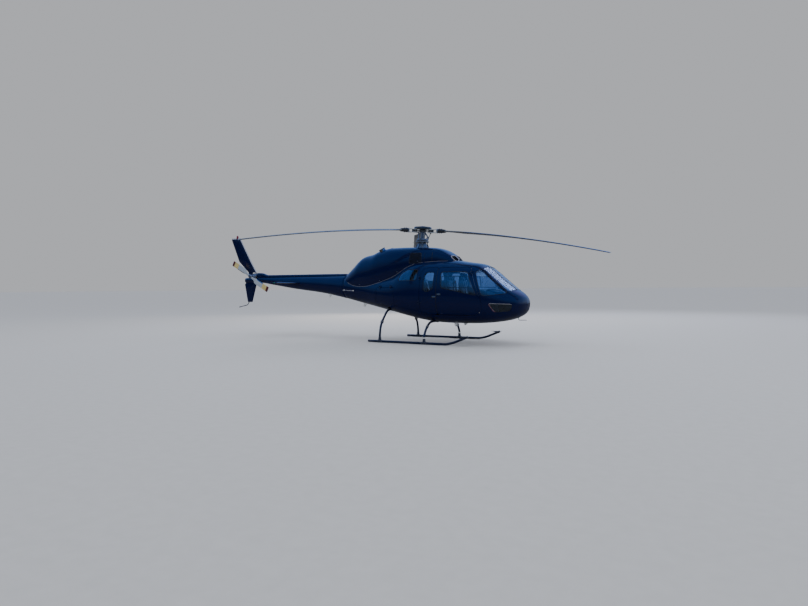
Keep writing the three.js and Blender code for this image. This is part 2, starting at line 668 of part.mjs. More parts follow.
// Skids with wear shoes
const skidHeight = skidTube + 5;
function skidPath(y) {
  const path = new THREE.CurvePath();
  const bend = new THREE.Vector3(skidBendX, y, skidHeight);
  const from = new THREE.Vector3(skidBendX - 180, y, skidHeight);
  const toe = new THREE.Vector3(skidToe[0], y, skidToe[1]);
  const to = bend.clone().lerp(toe, 0.4);
  path.add(new THREE.LineCurve3(new THREE.Vector3(skidAft, y, skidHeight), from));
  path.add(new THREE.QuadraticBezierCurve3(from, bend, to));
  path.add(new THREE.LineCurve3(to, toe));
  return path;
}
function pipe(path, radius, steps, sides = 10) {
  const round = new THREE.Shape();
  round.absarc(0, 0, radius, 0, 2 * Math.PI);
  return solidOf(new THREE.ExtrudeGeometry(round, {
    steps, curveSegments: sides / 2, bevelEnabled: false, extrudePath: path,
  }));
}
for (const side of sides) {
  const y = side * skidTrackHalf;
  const shoes = [[-1100, -450], [350, 1150]].map(([x0, x1]) => block(x0, x1, y - 20, y + 20, 0, 20));
  piece(`skid_${sideName[side]}`, joined([pipe(skidPath(y), skidTube, 24), ...shoes]), paint);
}

// Cross tubes bowed over the skids, held by saddles in their channels: y and height of the bow
function crossTubeSolid(x, roof, height, bow) {
  const half = [[0, height], [300, height], ...bow, [skidTrackHalf - 5, 230], [skidTrackHalf, skidHeight + 20]];
  const right = half.slice(1).reverse().map(([y, z]) => [-y, z]);
  const path = new THREE.CatmullRomCurve3(
    [...right, ...half].map(([y, z]) => new THREE.Vector3(x, y, z)), false, 'centripetal');
  const saddles = sides.map((side) => block(x - 40, x + 40, side * 300 - 35, side * 300 + 35,
    height - 20, roof - fit));
  const skidRoom = sides.map((side) => bar([-1300, side * skidTrackHalf, skidHeight],
    [1400, side * skidTrackHalf, skidHeight], skidTube + fit, 32));
  return joined([pipe(path, crossTube, 30), ...saddles]).subtract(joined(skidRoom));
}
piece('front_cross_tube', crossTubeSolid(frontTubeX, channelTop[0], channelTube[0],
  [[600, 606], [780, 575], [966, 440]]), paint);
piece('rear_cross_tube', crossTubeSolid(rearTubeX, channelTop[1], channelTube[1],
  [[480, 928], [700, 880], [920, 660], [1045, 480]]), paint);

// Seats, each a pan and back in one block, and the rear bench
const seatProfile = [[0, 0], [330, 0], [360, 250], [500, 260], [505, 390], [110, 370], [20, 1080], [-90, 1080],
  [-60, 400], [-20, 240]];
function seat(x, y, width) {
  const outline = seatProfile.map(([sx, sz]) => [x + sx, floorTop + fit + sz]);
  return sidePrism(outline, y - width / 2, y + width / 2);
}
for (const side of sides) {
  piece(`front_seat_${sideName[side]}`, seat(1180, side * 370, 480), cloth);
}
const benchOutline = [[-140, 200], [330, 200], [430, 260], [430, 400], [10, 380], [-110, 1000], [-220, 1000],
  [-190, 300]].map(([x, z]) => [x, floorTop + fit + z]);
const benchBase = block(-140, 300, -420, 420, floorTop + fit, floorTop + 230);
piece('rear_bench', sidePrism(benchOutline, -640, 640).add(benchBase), cloth);

// Instrument panel on its pedestal
const panelOutline = [[2020, 800], [2330, 800], [2330, 1180], [2450, 1200], [2520, 1430], [2250, 1520],
  [2190, 1500], [2230, 1230], [2160, 1180], [2030, 1130]];
const pedestal = sidePrism(panelOutline.map(([x, z]) => [x, z + fit]), -130, 130);
const panelHead = sidePrism([[2230, 1225], [2430, 1225], [2500, 1420], [2250, 1520], [2190, 1500]], -330, 330);
piece('instrument_panel', pedestal.add(panelHead), plastic);

export default aircraft;
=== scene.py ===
import bpy
import bmesh
import json
import math
import numpy as np
from mathutils import Matrix, Vector
from mathutils.bvhtree import BVHTree
from mathutils.interpolate import poly_3d_calc

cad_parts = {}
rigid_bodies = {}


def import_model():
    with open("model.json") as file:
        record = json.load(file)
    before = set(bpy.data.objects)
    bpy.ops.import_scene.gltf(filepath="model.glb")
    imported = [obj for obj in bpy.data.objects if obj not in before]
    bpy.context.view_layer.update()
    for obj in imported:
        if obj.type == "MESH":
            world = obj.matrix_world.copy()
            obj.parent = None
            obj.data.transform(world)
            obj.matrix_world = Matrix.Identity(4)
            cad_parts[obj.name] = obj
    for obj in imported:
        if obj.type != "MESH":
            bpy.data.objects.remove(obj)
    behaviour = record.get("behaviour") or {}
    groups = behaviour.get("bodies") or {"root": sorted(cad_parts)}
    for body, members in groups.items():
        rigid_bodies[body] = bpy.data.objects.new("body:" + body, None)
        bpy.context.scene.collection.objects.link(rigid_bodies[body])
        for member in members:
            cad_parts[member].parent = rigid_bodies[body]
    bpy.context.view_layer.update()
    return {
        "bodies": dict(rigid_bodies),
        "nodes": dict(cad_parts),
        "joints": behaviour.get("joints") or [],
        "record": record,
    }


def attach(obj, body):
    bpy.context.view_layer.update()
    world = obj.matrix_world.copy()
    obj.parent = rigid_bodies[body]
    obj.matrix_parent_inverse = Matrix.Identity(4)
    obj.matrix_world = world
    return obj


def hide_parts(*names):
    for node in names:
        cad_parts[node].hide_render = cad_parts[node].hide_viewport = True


# Light twin-engine helicopter. Metres, +X to the nose, +Y to the left side, +Z up.
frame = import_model()
scene = bpy.context.scene
print("frame loaded:", len(frame["nodes"]), "nodes")

mastX = 1.1865  # stations below are measured from the foot of the rotor mast, which stands here
leastRadius = 1e-4  # at the tip of a turned body
beyond = 1.3  # farther out than any side of the body
sides = {"right": -1, "left": 1}


# Shapes are pairs of points and faces. Parts are pairs of a shape and the name of its look
def closedShape(points, faces):
    points = np.asarray(points, float)
    corners = np.array([(face[0], face[i], face[i + 1]) for face in faces for i in range(1, len(face) - 1)])
    a, b, c = (points[corners[:, k]] for k in range(3))
    if np.einsum("ij,ij", a, np.cross(b, c)) < 0:
        faces = [tuple(reversed(face)) for face in faces]
    return points, faces


def joinShapes(shapes):
    points, faces, start = [], [], 0
    for shapePoints, shapeFaces in shapes:
        points.append(np.asarray(shapePoints, float))
        faces += [tuple(i + start for i in face) for face in shapeFaces]
        start += len(shapePoints)
    return np.concatenate(points), faces


def movedShape(shape, matrix):
    points = np.asarray(shape[0], float)
    moved = points @ np.array(matrix.to_3x3()).T + np.array(matrix.translation)
    faces = shape[1] if matrix.to_3x3().determinant() > 0 else [tuple(reversed(f)) for f in shape[1]]
    return moved, faces


def placed(parts, matrix):
    return [(movedShape(shape, matrix), look) for shape, look in parts]


def axesAt(place, first, second, third):
    # sets x, y and z of a shape along three directions
    return Matrix.Translation(place) @ Matrix((first, second, third)).transposed().to_4x4()


def lofted(rings, looped=False):
    rings = np.asarray(rings, float)
    count, size = rings.shape[:2]
    points = rings.reshape(-1, 3)
    faces = []
    for k in range(count if looped else count - 1):
        here, there = k * size, ((k + 1) % count) * size
        for i in range(size):
            j = (i + 1) % size
            faces.append((here + i, here + j, there + j, there + i))
    if not looped:
        points = np.concatenate([points, [rings[0].mean(0), rings[-1].mean(0)]])
        first, last, end = count * size, count * size + 1, (count - 1) * size
        for i in range(size):
            j = (i + 1) % size
            faces.append((first, j, i))
            faces.append((last, end + i, end + j))
    return closedShape(points, faces)


def basisFrom(direction):
    along, up = Vector(direction).normalized(), Vector((0, 0, 1))
    if abs(along.dot(up)) > 0.98:
        up = Vector((1, 0, 0)) if abs(along.x) < 0.9 else Vector((0, 1, 0))
    across = up.cross(along).normalized()
    return across, along.cross(across).normalized(), along


def roundAngles(count, start=0.0):
    return np.linspace(start, start + 2 * math.pi, count, endpoint=False)


def circle(centre, across, up, radius, count, start=0.0):
    return [centre + (across * math.cos(a) + up * math.sin(a)) * radius for a in roundAngles(count, start)]


def turned(profile, origin=(0, 0, 0), direction=(0, 0, 1), count=24):
    # a turned body: profile rows are distance along the axis and radius
    across, up, along = basisFrom(direction)
    return lofted([circle(Vector(origin) + along * distance, across, up, max(radius, leastRadius), count)
                   for distance, radius in profile])


def rod(start, end, radius, count, chamfer=0.15, endRadius=None):
    start, end = Vector(start), Vector(end)
    endRadius = radius if endRadius is None else endRadius
    length, edge = (end - start).length, chamfer * min(radius, endRadius)
    return turned([(0, radius - edge), (edge, radius), (length - edge, endRadius),
                   (length, endRadius - edge)], start, end - start, count)


def bolt(place, normal, size, height):
    # a hexagon head over its washer
    washer = size * 1.25
    return turned([(-0.002, washer), (height * 0.3, washer), (height * 0.32, size), (height, size),
                   (height * 1.15, size * 0.8)], place, normal, 6)


def boltRing(centre, across, up, radius, count, size, height, start=0.0):
    # bolts on a circle, with their heads along across x up
    middle, across, up = Vector(centre), Vector(across), Vector(up)
    return [(bolt(place, across.cross(up), size, height), "satinSteel")
            for place in circle(middle, across, up, radius, count, start)]


def tangents(line, closed):
    count, result = len(line), []
    for i in range(count):
        before = line[i - 1] if (i > 0 or closed) else line[i]
        after = line[(i + 1) % count] if (i < count - 1 or closed) else line[i]
        result.append((after - before).normalized())
    return result


def tube(points, radius, count, closed=False):
    # a round tube along a line of points; radius is one number or one for each point
    line = [Vector(p) for p in points]
    radii = [radius] * len(line) if np.isscalar(radius) else radius
    ways = tangents(line, closed)
    across, rings = basisFrom(ways[0])[0], []
    for centre, way, r in zip(line, ways, radii):
        across = (across - way * across.dot(way)).normalized()
        rings.append(circle(centre, across, way.cross(across), r, count))
    return lofted(rings, closed)


def smoothLine(points, steps):
    # points on a smooth curve through the given ones
    line, result = [Vector(p) for p in points], []
    for i, (b, c) in enumerate(zip(line, line[1:])):
        a = line[i - 1] if i > 0 else b * 2 - c
        d = line[i + 2] if i + 2 < len(line) else c * 2 - b
        for k in range(steps):
            t = k / steps
            result.append((b * 2 + (c - a) * t + (a * 2 - b * 5 + c * 4 - d) * t * t
                           + (b * 3 - a - c * 3 + d) * t ** 3) * 0.5)
    return result + [line[-1]]


def strip(points, normals, profile, closed):
    # a profile of (across, up) pairs swept along a line that lies on a surface
    line, rings = [Vector(p) for p in points], []
    for place, way, up in zip(line, tangents(line, closed), normals):
        up = (up - way * up.dot(way)).normalized()
        across = way.cross(up)
        rings.append([place + across * a + up * b for a, b in profile])
    return lofted(rings, closed)


def bead(half, low, topHalf, high):
    # the profile of a flat bead or bar that narrows towards its top
    return [(-half, low), (half, low), (topHalf, high), (-topHalf, high)]


def roundedBox(size, centre, radius, segments=2, turn=None):
    bm = bmesh.new()
    bmesh.ops.create_cube(bm, size=1)
    for v in bm.verts:
        v.co = Vector((v.co.x * size[0], v.co.y * size[1], v.co.z * size[2]))
    bmesh.ops.bevel(bm, geom=bm.edges[:], offset=min(radius, min(size) * 0.45), segments=segments,
                    profile=0.5, affect="EDGES")
    if turn is not None:
        bmesh.ops.transform(bm, matrix=turn, verts=bm.verts)
    bmesh.ops.translate(bm, vec=Vector(centre), verts=bm.verts)
    shape = [tuple(v.co) for v in bm.verts], [tuple(v.index for v in f.verts) for f in bm.faces]
    bm.free()
    return shape


def slab(outline, low, high, chamfer=0.0):
    # an outline in x and y, raised from low to high, with chamfered rims
    loops = [(shrunk(outline, chamfer), low), (outline, low + chamfer), (outline, high - chamfer),
             (shrunk(outline, chamfer), high)] if chamfer else [(outline, low), (outline, high)]
    return lofted([[(x, y, z) for x, y in loop] for loop, z in loops])


# Outlines are lists of pairs, in the side view x and z
def shrunk(outline, distance):
    area = sum(a[0] * b[1] - b[0] * a[1] for a, b in zip(outline, outline[1:] + outline[:1]))
    turn = math.copysign(1, area)
    result = []
    for i, point in enumerate(outline):
        normals = []
        for a, b in ((outline[i - 1], point), (point, outline[(i + 1) % len(outline)])):
            length = math.hypot(b[0] - a[0], b[1] - a[1])
            normals.append((-turn * (b[1] - a[1]) / length, turn * (b[0] - a[0]) / length))
        (ax, ay), (bx, by) = normals
        scale = distance / max(0.2, 1 + ax * bx + ay * by)
        result.append((point[0] + (ax + bx) * scale, point[1] + (ay + by) * scale))
    return result


def rounded(outline, radius, steps=7):
    result = []
    for i, point in enumerate(outline):
        corner = Vector(point)
        inward = Vector(outline[i - 1]) - corner
        outward = Vector(outline[(i + 1) % len(outline)]) - corner
        reach = min(radius, inward.length * 0.45, outward.length * 0.45)
        start, end = corner + inward.normalized() * reach, corner + outward.normalized() * reach
        for k in range(steps + 1):
            t = k / steps
            result.append(tuple(start * (1 - t) ** 2 + corner * 2 * t * (1 - t) + end * t * t))
    return result


def rectangle(x0, x1, y0, y1, radius):
    return rounded([(x0, y0), (x1, y0), (x1, y1), (x0, y1)], radius)


def divided(outline, step=0.02, closed=True):
    result = []
    for a, b in zip(outline, outline[1:] + (outline[:1] if closed else [])):
        count = max(1, round(math.dist(a, b) / step))
        result += [tuple(np.array(a) + (np.array(b) - np.array(a)) * k / count) for k in range(count)]
    return result if closed else result + [outline[-1]]


def sidePrism(outline, inner, outer):
    return lofted([[(x, y, z) for x, z in outline] for y in (inner, outer)])


def boxShape(x0, x1, y0, y1, z0, z1):
    return sidePrism([(x0, z0), (x1, z0), (x1, z1), (x0, z1)], y0, y1)


# Materials. Effects that several finishes share are node groups
def nodeGroup(name, inputs, outputs):
    group = bpy.data.node_groups.new(name, "ShaderNodeTree")
    for label, value in inputs.items():
        kind = "NodeSocketColor" if isinstance(value, tuple) else "NodeSocketFloat"
        socket = group.interface.new_socket(label, in_out="INPUT", socket_type=kind)
        socket.default_value = value
    for label, kind in outputs.items():
        group.interface.new_socket(label, in_out="OUTPUT", socket_type=kind)
    return group, group.nodes.new("NodeGroupInput"), group.nodes.new("NodeGroupOutput")


def add(tree, kind, links=None, **values):
    # one node: values set its properties or sockets, links join its sockets to earlier outputs
    node = tree.nodes.new(kind)
    for key, value in values.items():
        if hasattr(node, key):
            setattr(node, key, value)
        else:
            node.inputs[key.replace("_", " ")].default_value = value
    for key, output in (links or {}).items():
        socket = node.inputs[key] if isinstance(key, (int, str)) else key
        tree.links.new(output, socket)
    return node


def mathNode(tree, operation, a, b):
    node = tree.nodes.new("ShaderNodeMath")
    node.operation = operation
    for i, value in enumerate((a, b)):
        if isinstance(value, (int, float)):
            node.inputs[i].default_value = value
        else:
            tree.links.new(value, node.inputs[i])
    return node.outputs[0]


def objectPoint(tree, turn=(0, 0, 0)):
    source = tree.nodes.new("ShaderNodeTexCoord")
    return add(tree, "ShaderNodeMapping", {"Vector": source.outputs["Object"]}, Rotation=turn).outputs[0]


def brokenMask(group, source, noise, low, high, taken, given):
    # a mask broken up by noise, times the group's amount
    broken = add(group, "ShaderNodeMapRange", {"Value": noise.outputs["Fac"]}, From_Min=low, From_Max=high)
    mask = mathNode(group, "MULTIPLY", source.outputs[0], broken.outputs[0])
    group.links.new(mathNode(group, "MULTIPLY", mask, taken.outputs["Amount"]), given.inputs["Mask"])
    return group


def noiseNode(tree, point, size, detail):
    return add(tree, "ShaderNodeTexNoise", {"Vector": point, "Scale": size}, Detail=detail)


maskOut = {"Mask": "NodeSocketFloat"}


def makeDustGroup():
    # dust that settles on faces that look up, broken by noise
    group, taken, given = nodeGroup("settledDust", {"Amount": 0.2, "Patch Size": 3.0}, maskOut)
    noise = noiseNode(group, objectPoint(group), taken.outputs["Patch Size"], 8.0)
    geometry = group.nodes.new("ShaderNodeNewGeometry")
    split = add(group, "ShaderNodeSeparateXYZ", {"Vector": geometry.outputs["Normal"]})
    upward = add(group, "ShaderNodeMapRange", {"Value": split.outputs["Z"]}, From_Min=0.1, From_Max=1.0)
    return brokenMask(group, upward, noise, 0.35, 0.75, taken, given)


def makeWearGroup():
    # rubbed edges, from how sharply the surface bends
    group, taken, given = nodeGroup("rubbedEdges", {"Amount": 0.5, "Break Up": 30.0}, maskOut)
    geometry = group.nodes.new("ShaderNodeNewGeometry")
    edge = add(group, "ShaderNodeMapRange", {"Value": geometry.outputs["Pointiness"]}, From_Min=0.52,
               From_Max=0.6)
    noise = noiseNode(group, objectPoint(group), taken.outputs["Break Up"], 6.0)
    return brokenMask(group, edge, noise, 0.42, 0.62, taken, given)


def makeMottleGroup():
    # slow and fine variation of a colour, with a height for the bump
    group, taken, given = nodeGroup(
        "mottle", {"Color": (0.5, 0.5, 0.5, 1), "Strength": 0.1, "Size": 8.0, "Grain": 250.0},
        {"Color": "NodeSocketColor", "Height": "NodeSocketFloat"})
    point = objectPoint(group)
    slow = noiseNode(group, point, taken.outputs["Size"], 5.0)
    fine = noiseNode(group, point, taken.outputs["Grain"], 3.0)
    swing = mathNode(group, "SUBTRACT", slow.outputs["Fac"], 0.5)
    swing = mathNode(group, "MULTIPLY", swing, taken.outputs["Strength"])
    level = mathNode(group, "ADD", mathNode(group, "MULTIPLY", swing, 4.0), 1.0)
    tinted = add(group, "ShaderNodeHueSaturation", {"Color": taken.outputs["Color"], "Value": level})
    group.links.new(tinted.outputs[0], given.inputs["Color"])
    group.links.new(fine.outputs["Fac"], given.inputs["Height"])
    return group


def makeWeaveGroup():
    # two crossed sets of threads
    group, taken, given = nodeGroup("weave", {"Threads": 400.0}, {"Height": "NodeSocketFloat"})
    heights = []
    for turn in ((0, 0, 0.4), (0.5, 0, 1.97)):
        wave = add(group, "ShaderNodeTexWave", {"Vector": objectPoint(group, turn),
                                                "Scale": taken.outputs["Threads"]}, Distortion=1.5,
                   Detail=2.0)
        heights.append(wave.outputs["Fac"])
    group.links.new(mathNode(group, "MAXIMUM", *heights), given.inputs["Height"])
    return group


dustColor = (0.32, 0.31, 0.29, 1)
groups = {"dust": makeDustGroup(), "wear": makeWearGroup(), "mottle": makeMottleGroup(),
          "weave": makeWeaveGroup()}


def placeGroup(tree, name, **values):
    node = tree.nodes.new("ShaderNodeGroup")
    node.node_tree = groups[name]
    for key, value in values.items():
        node.inputs[key.replace("_", " ")].default_value = value
    return node


def newMaterial(name, **sockets):
    material = bpy.data.materials.new(name)
    material.use_nodes = True
    tree = material.node_tree
    shader = tree.nodes["Principled BSDF"]
    for key, value in sockets.items():
        shader.inputs[key.replace("_", " ")].default_value = value
    return material, tree, shader


def finish(name, color, roughness, metallic=0.0, coat=0.0, dust=0.1, wear=0.0, wearColor=(0.5, 0.5, 0.5, 1),
           mottle=0.08, grain=250.0, bump=0.05, coatRoughness=0.03, **sockets):
    # a painted, moulded or metal finish: mottled colour, dust on top, rubbed edges, fine bump
    material, tree, shader = newMaterial(name, Metallic=metallic, Coat_Weight=coat,
                                         Coat_Roughness=coatRoughness, **sockets)
    base = placeGroup(tree, "mottle", Color=(*color, 1), Strength=mottle, Grain=grain)
    current = base.outputs["Color"]
    if wear:
        mask = placeGroup(tree, "wear", Amount=wear).outputs["Mask"]
        current = mixColors(tree, mask, current, wearColor)
    mask = placeGroup(tree, "dust", Amount=dust).outputs["Mask"]
    current = mixColors(tree, mask, current, dustColor)
    rough = mathNode(tree, "ADD", mathNode(tree, "MULTIPLY", mask, 0.6), roughness)
    tree.links.new(current, shader.inputs["Base Color"])
    tree.links.new(rough, shader.inputs["Roughness"])
    relief = add(tree, "ShaderNodeBump", {"Height": base.outputs["Height"]}, Strength=bump, Distance=0.002)
    tree.links.new(relief.outputs[0], shader.inputs["Normal"])
    return material


def mixColors(tree, factor, first, second):
    node = tree.nodes.new("ShaderNodeMix")
    node.data_type = "RGBA"
    tree.links.new(factor, node.inputs[0])
    for index, value in ((6, first), (7, second)):
        if isinstance(value, tuple):
            node.inputs[index].default_value = value
        else:
            tree.links.new(value, node.inputs[index])
    return node.outputs[2]


def makeRamp(tree, rows, source):
    # rows: place on the ramp and colour
    ramp = add(tree, "ShaderNodeValToRGB", {"Fac": source})
    while len(ramp.color_ramp.elements) < len(rows):
        ramp.color_ramp.elements.new(0.5)
    for element, (place, color) in zip(ramp.color_ramp.elements, rows):
        element.position, element.color = place, (*color, 1)
    return ramp.outputs["Color"]


def makeGlass(name, tint):
    # clear acrylic that lets light through to the cabin
    material, tree, shader = newMaterial(
        name, Base_Color=(*tint, 1), Roughness=0.0, IOR=1.49, Transmission_Weight=1.0, Coat_Weight=1.0,
        Coat_Roughness=0.0, Coat_IOR=1.7)
    clear = add(tree, "ShaderNodeBsdfTransparent", Color=(*tint, 1))
    path = tree.nodes.new("ShaderNodeLightPath")
    mix = tree.nodes.new("ShaderNodeMixShader")
    tree.links.new(path.outputs["Is Shadow Ray"], mix.inputs[0])
    tree.links.new(shader.outputs[0], mix.inputs[1])
    tree.links.new(clear.outputs[0], mix.inputs[2])
    tree.links.new(mix.outputs[0], tree.nodes["Material Output"].inputs["Surface"])
    return material


looks = {
    "hull": finish("navyPaint", (0.0008, 0.0036, 0.036), 0.30, coat=0.9, dust=0.015, mottle=0.06, bump=0.006,
                   coatRoughness=0.02, Specular_IOR_Level=0.12),
    "lining": finish("cabinLining", (0.03, 0.032, 0.036), 0.85, mottle=0.15, bump=0.3, grain=500.0),
    "edge": finish("paintedEdge", (0.0025, 0.0065, 0.034), 0.35, coat=0.4, wear=0.03, dust=0.03,
                   Specular_IOR_Level=0.2),
    "rubber": finish("blackRubber", (0.012, 0.012, 0.013), 0.6, dust=0.12, bump=0.15, grain=600.0),
    "glass": makeGlass("clearAcrylic", (0.53, 0.70, 0.87)),
    # pale edge strips; several of them are painted highlights where edges catch light
    "paleEdge": finish("paleEdge", (0.50, 0.51, 0.56), 0.35, 0.2, coat=0.3, dust=0.08, mottle=0.08),
    "redLens": finish("redLens", (0.15, 0.006, 0.005), 0.12, coat=0.6, dust=0.05),
    "greenLens": finish("greenLens", (0.010, 0.18, 0.045), 0.12, coat=0.6, dust=0.05),
    "whiteLens": finish("whiteLens", (0.75, 0.76, 0.74), 0.15, coat=0.6, dust=0.05),
    "darkSteel": finish("darkSteel", (0.07, 0.075, 0.08), 0.38, 0.9, wear=0.5,
                        wearColor=(0.45, 0.45, 0.45, 1)),
}
print("finishes made")


# Pieces, and the solids that are carved into them
def newPiece(name, mesh, body, replaces):
    piece = bpy.data.objects.new(name, mesh)
    scene.collection.objects.link(piece)
    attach(piece, body)
    if replaces:
        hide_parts(*replaces)
    return piece


def meshFrom(name, shape):
    mesh = bpy.data.meshes.new(name)
    mesh.from_pydata([tuple(p) for p in shape[0]], [], shape[1])
    return mesh


def meshShape(mesh):
    return [tuple(v.co) for v in mesh.vertices], [tuple(p.vertices) for p in mesh.polygons]


def makePiece(name, parts, body, replaces=(), crease=35):
    # a part's look may be a list with one name for each face
    mesh = meshFrom(name, joinShapes([shape for shape, look in parts]))
    chosen = []
    for shape, look in parts:
        chosen += look if isinstance(look, list) else [look] * len(shape[1])
    names = list(dict.fromkeys(chosen))
    for look in names:
        mesh.materials.append(looks[look])
    mesh.polygons.foreach_set("material_index", [names.index(look) for look in chosen])
    mesh.polygons.foreach_set("use_smooth", [True] * len(mesh.polygons))
    mesh.set_sharp_from_angle(angle=math.radians(crease))
    mesh.update()
    return newPiece(name, mesh, body, replaces)


spare = []  # solids that only cut others, removed at the end


def newSolid(mesh):
    solid = bpy.data.objects.new("cutter", mesh)
    scene.collection.objects.link(solid)
    solid.hide_render = True
    spare.append(solid)
    return solid


def cutter(shape):
    return newSolid(meshFrom("cutter", shape))


def finalMesh(work):
    # the object's mesh with its modifiers applied; the object goes
    bpy.context.view_layer.update()
    mesh = bpy.data.meshes.new_from_object(work.evaluated_get(bpy.context.evaluated_depsgraph_get()))
    bpy.data.objects.remove(work)
    return mesh


def carved(base, *steps):
    # base and each step's tool are cutters; a step is a boolean operation and a tool
    work = bpy.data.objects.new("carving", base.data)
    scene.collection.objects.link(work)
    for operation, tool in steps:
        modifier = work.modifiers.new("step", "BOOLEAN")
        modifier.operation = operation
        modifier.solver = "MANIFOLD"
        modifier.object = tool
    return newSolid(finalMesh(work))


def clearSpare():
    for solid in spare:
        mesh = solid.data
        bpy.data.objects.remove(solid)
        if mesh.users == 0:
            bpy.data.meshes.remove(mesh)
    spare.clear()


def makeGuide(shape):
    # a skin to lay things on, with its smooth normals
    mesh = meshFrom("guide", shape)
    guide = {"points": [v.co.copy() for v in mesh.vertices],
             "faces": [tuple(p.vertices) for p in mesh.polygons],
             "normals": [v.normal.copy() for v in mesh.vertices]}
    guide["tree"] = BVHTree.FromPolygons(guide["points"], guide["faces"])
    bpy.data.meshes.remove(mesh)
    return guide


def smoothNormal(guide, place, index):
    corners = guide["faces"][index]
    weights = poly_3d_calc([guide["points"][c] for c in corners], place)
    return sum((guide["normals"][c] * w for c, w in zip(corners, weights)), Vector()).normalized()


def castOn(guide, origin, direction):
    place, normal, index, distance = guide["tree"].ray_cast(Vector(origin), Vector(direction))
    if index is None:
        raise ValueError(f"nothing under {tuple(origin)}")
    return place, smoothNormal(guide, place, index)


def skinnedPiece(name, solid, guides, body, replaces, reach=0.0012):
    # a carved solid whose faces on a guide get that guide's look and smooth normals
    mesh = solid.data
    mesh.name = name
    mesh.materials.clear()
    names = [look for guide, look in guides] + ["edge"]
    for look in names:
        mesh.materials.append(looks[look])
    found = []
    for guide, look in guides:
        rows = {}
        for vertex in mesh.vertices:
            place, normal, index, distance = guide["tree"].find_nearest(vertex.co, reach)
            if index is not None:
                rows[vertex.index] = smoothNormal(guide, place, index)
        found.append(rows)
    normals = [None] * len(mesh.loops)
    for polygon in mesh.polygons:
        choice, own = len(guides), polygon.normal
        for k, rows in enumerate(found):
            if all(v in rows for v in polygon.vertices):
                alike = own.dot(sum((rows[v] for v in polygon.vertices), Vector()).normalized())
                if abs(alike) > 0.6:
                    choice = k
                    sign = math.copysign(1, alike)
                    for loop in polygon.loop_indices:
                        normals[loop] = rows[mesh.loops[loop].vertex_index] * sign
                    break
        if choice == len(guides):
            for loop in polygon.loop_indices:
                normals[loop] = own
        polygon.material_index = choice
        polygon.use_smooth = True
    mesh.normals_split_custom_set(normals)
    spare.remove(solid)
    bpy.data.objects.remove(solid)
    return newPiece(name, mesh, body, replaces)


# Body sections from the nose aft: station, bottom, top, half width, height of greatest width,
# squareness above and below it, where 2 is an ellipse
bodyTable = [
    (3.234, 1.092, 1.108, 0.010, 1.1, 2, 2),
    (3.224, 1.030, 1.165, 0.090, 1.1, 2, 2),
    (3.203, 0.935, 1.245, 0.240, 1.1, 2, 2),
    (3.155, 0.850, 1.330, 0.395, 1.105, 2, 2.1),
    (3.060, 0.778, 1.412, 0.535, 1.112, 2.1, 2.2),
    (2.920, 0.715, 1.500, 0.660, 1.125, 2.2, 2.3),
    (2.740, 0.658, 1.630, 0.755, 1.140, 2.4, 2.4),
    (2.500, 0.615, 1.820, 0.830, 1.160, 2.5, 2.5),
    (2.250, 0.585, 2.030, 0.880, 1.190, 2.6, 2.6),
    (2.090, 0.572, 2.140, 0.900, 1.210, 2.6, 2.6),
    (1.930, 0.562, 2.200, 0.915, 1.220, 2.7, 2.6),
    (1.600, 0.552, 2.250, 0.930, 1.240, 2.8, 2.6),
    (1.200, 0.550, 2.312, 0.935, 1.250, 2.8, 2.6),
    (0.700, 0.568, 2.340, 0.935, 1.250, 2.8, 2.6),
    (0.200, 0.628, 2.330, 0.925, 1.260, 2.8, 2.5),
    (-0.200, 0.705, 2.230, 0.900, 1.280, 2.7, 2.4),
    (-0.350, 0.737, 2.150, 0.880, 1.290, 2.6, 2.4),
    (-0.700, 0.812, 1.990, 0.800, 1.320, 2.4, 2.3),
    (-1.200, 0.915, 1.930, 0.650, 1.370, 2.2, 2.2),
    (-1.800, 1.040, 1.930, 0.480, 1.460, 2.1, 2.1),
    (-2.600, 1.215, 1.945, 0.345, 1.580, 2, 2),
]
# Cowl sections: station, bottom, top, half width, squareness
cowlTable = [
    (1.215, 2.060, 2.345, 0.300, 3), (1.100, 2.040, 2.450, 0.360, 3), (0.970, 2.010, 2.530, 0.410, 3),
    (0.815, 1.980, 2.612, 0.440, 3), (0.590, 1.940, 2.680, 0.465, 2.9), (0.359, 1.880, 2.705, 0.490, 2.8),
    (0.000, 1.780, 2.722, 0.530, 2.8), (-0.500, 1.600, 2.735, 0.580, 2.7), (-0.850, 1.460, 2.735, 0.600, 2.7),
    (-1.250, 1.340, 2.680, 0.590, 2.6), (-1.550, 1.300, 2.575, 0.555, 2.5), (-1.900, 1.300, 2.500, 0.490, 2.4),
    (-2.250, 1.350, 2.240, 0.400, 2.3), (-2.560, 1.450, 2.000, 0.290, 2.2),
]
# Tail boom sections: station, bottom, top, half width
boomTable = [
    (-2.600, 1.215, 1.945, 0.345), (-3.618, 1.396, 1.937, 0.262), (-4.810, 1.534, 1.935, 0.195),
    (-5.804, 1.674, 1.932, 0.130), (-6.330, 1.742, 1.930, 0.098), (-7.060, 1.748, 1.915, 0.062),
]
shell = {"skin": 0.035, "flange": 0.012, "plugInset": 0.030, "doorGap": 0.009, "floorTop": 0.800,
         "noseEnd": 3.234, "ringPoints": 144, "stationStep": 0.055, "bulkhead": -0.350, "panelFront": 0.890}


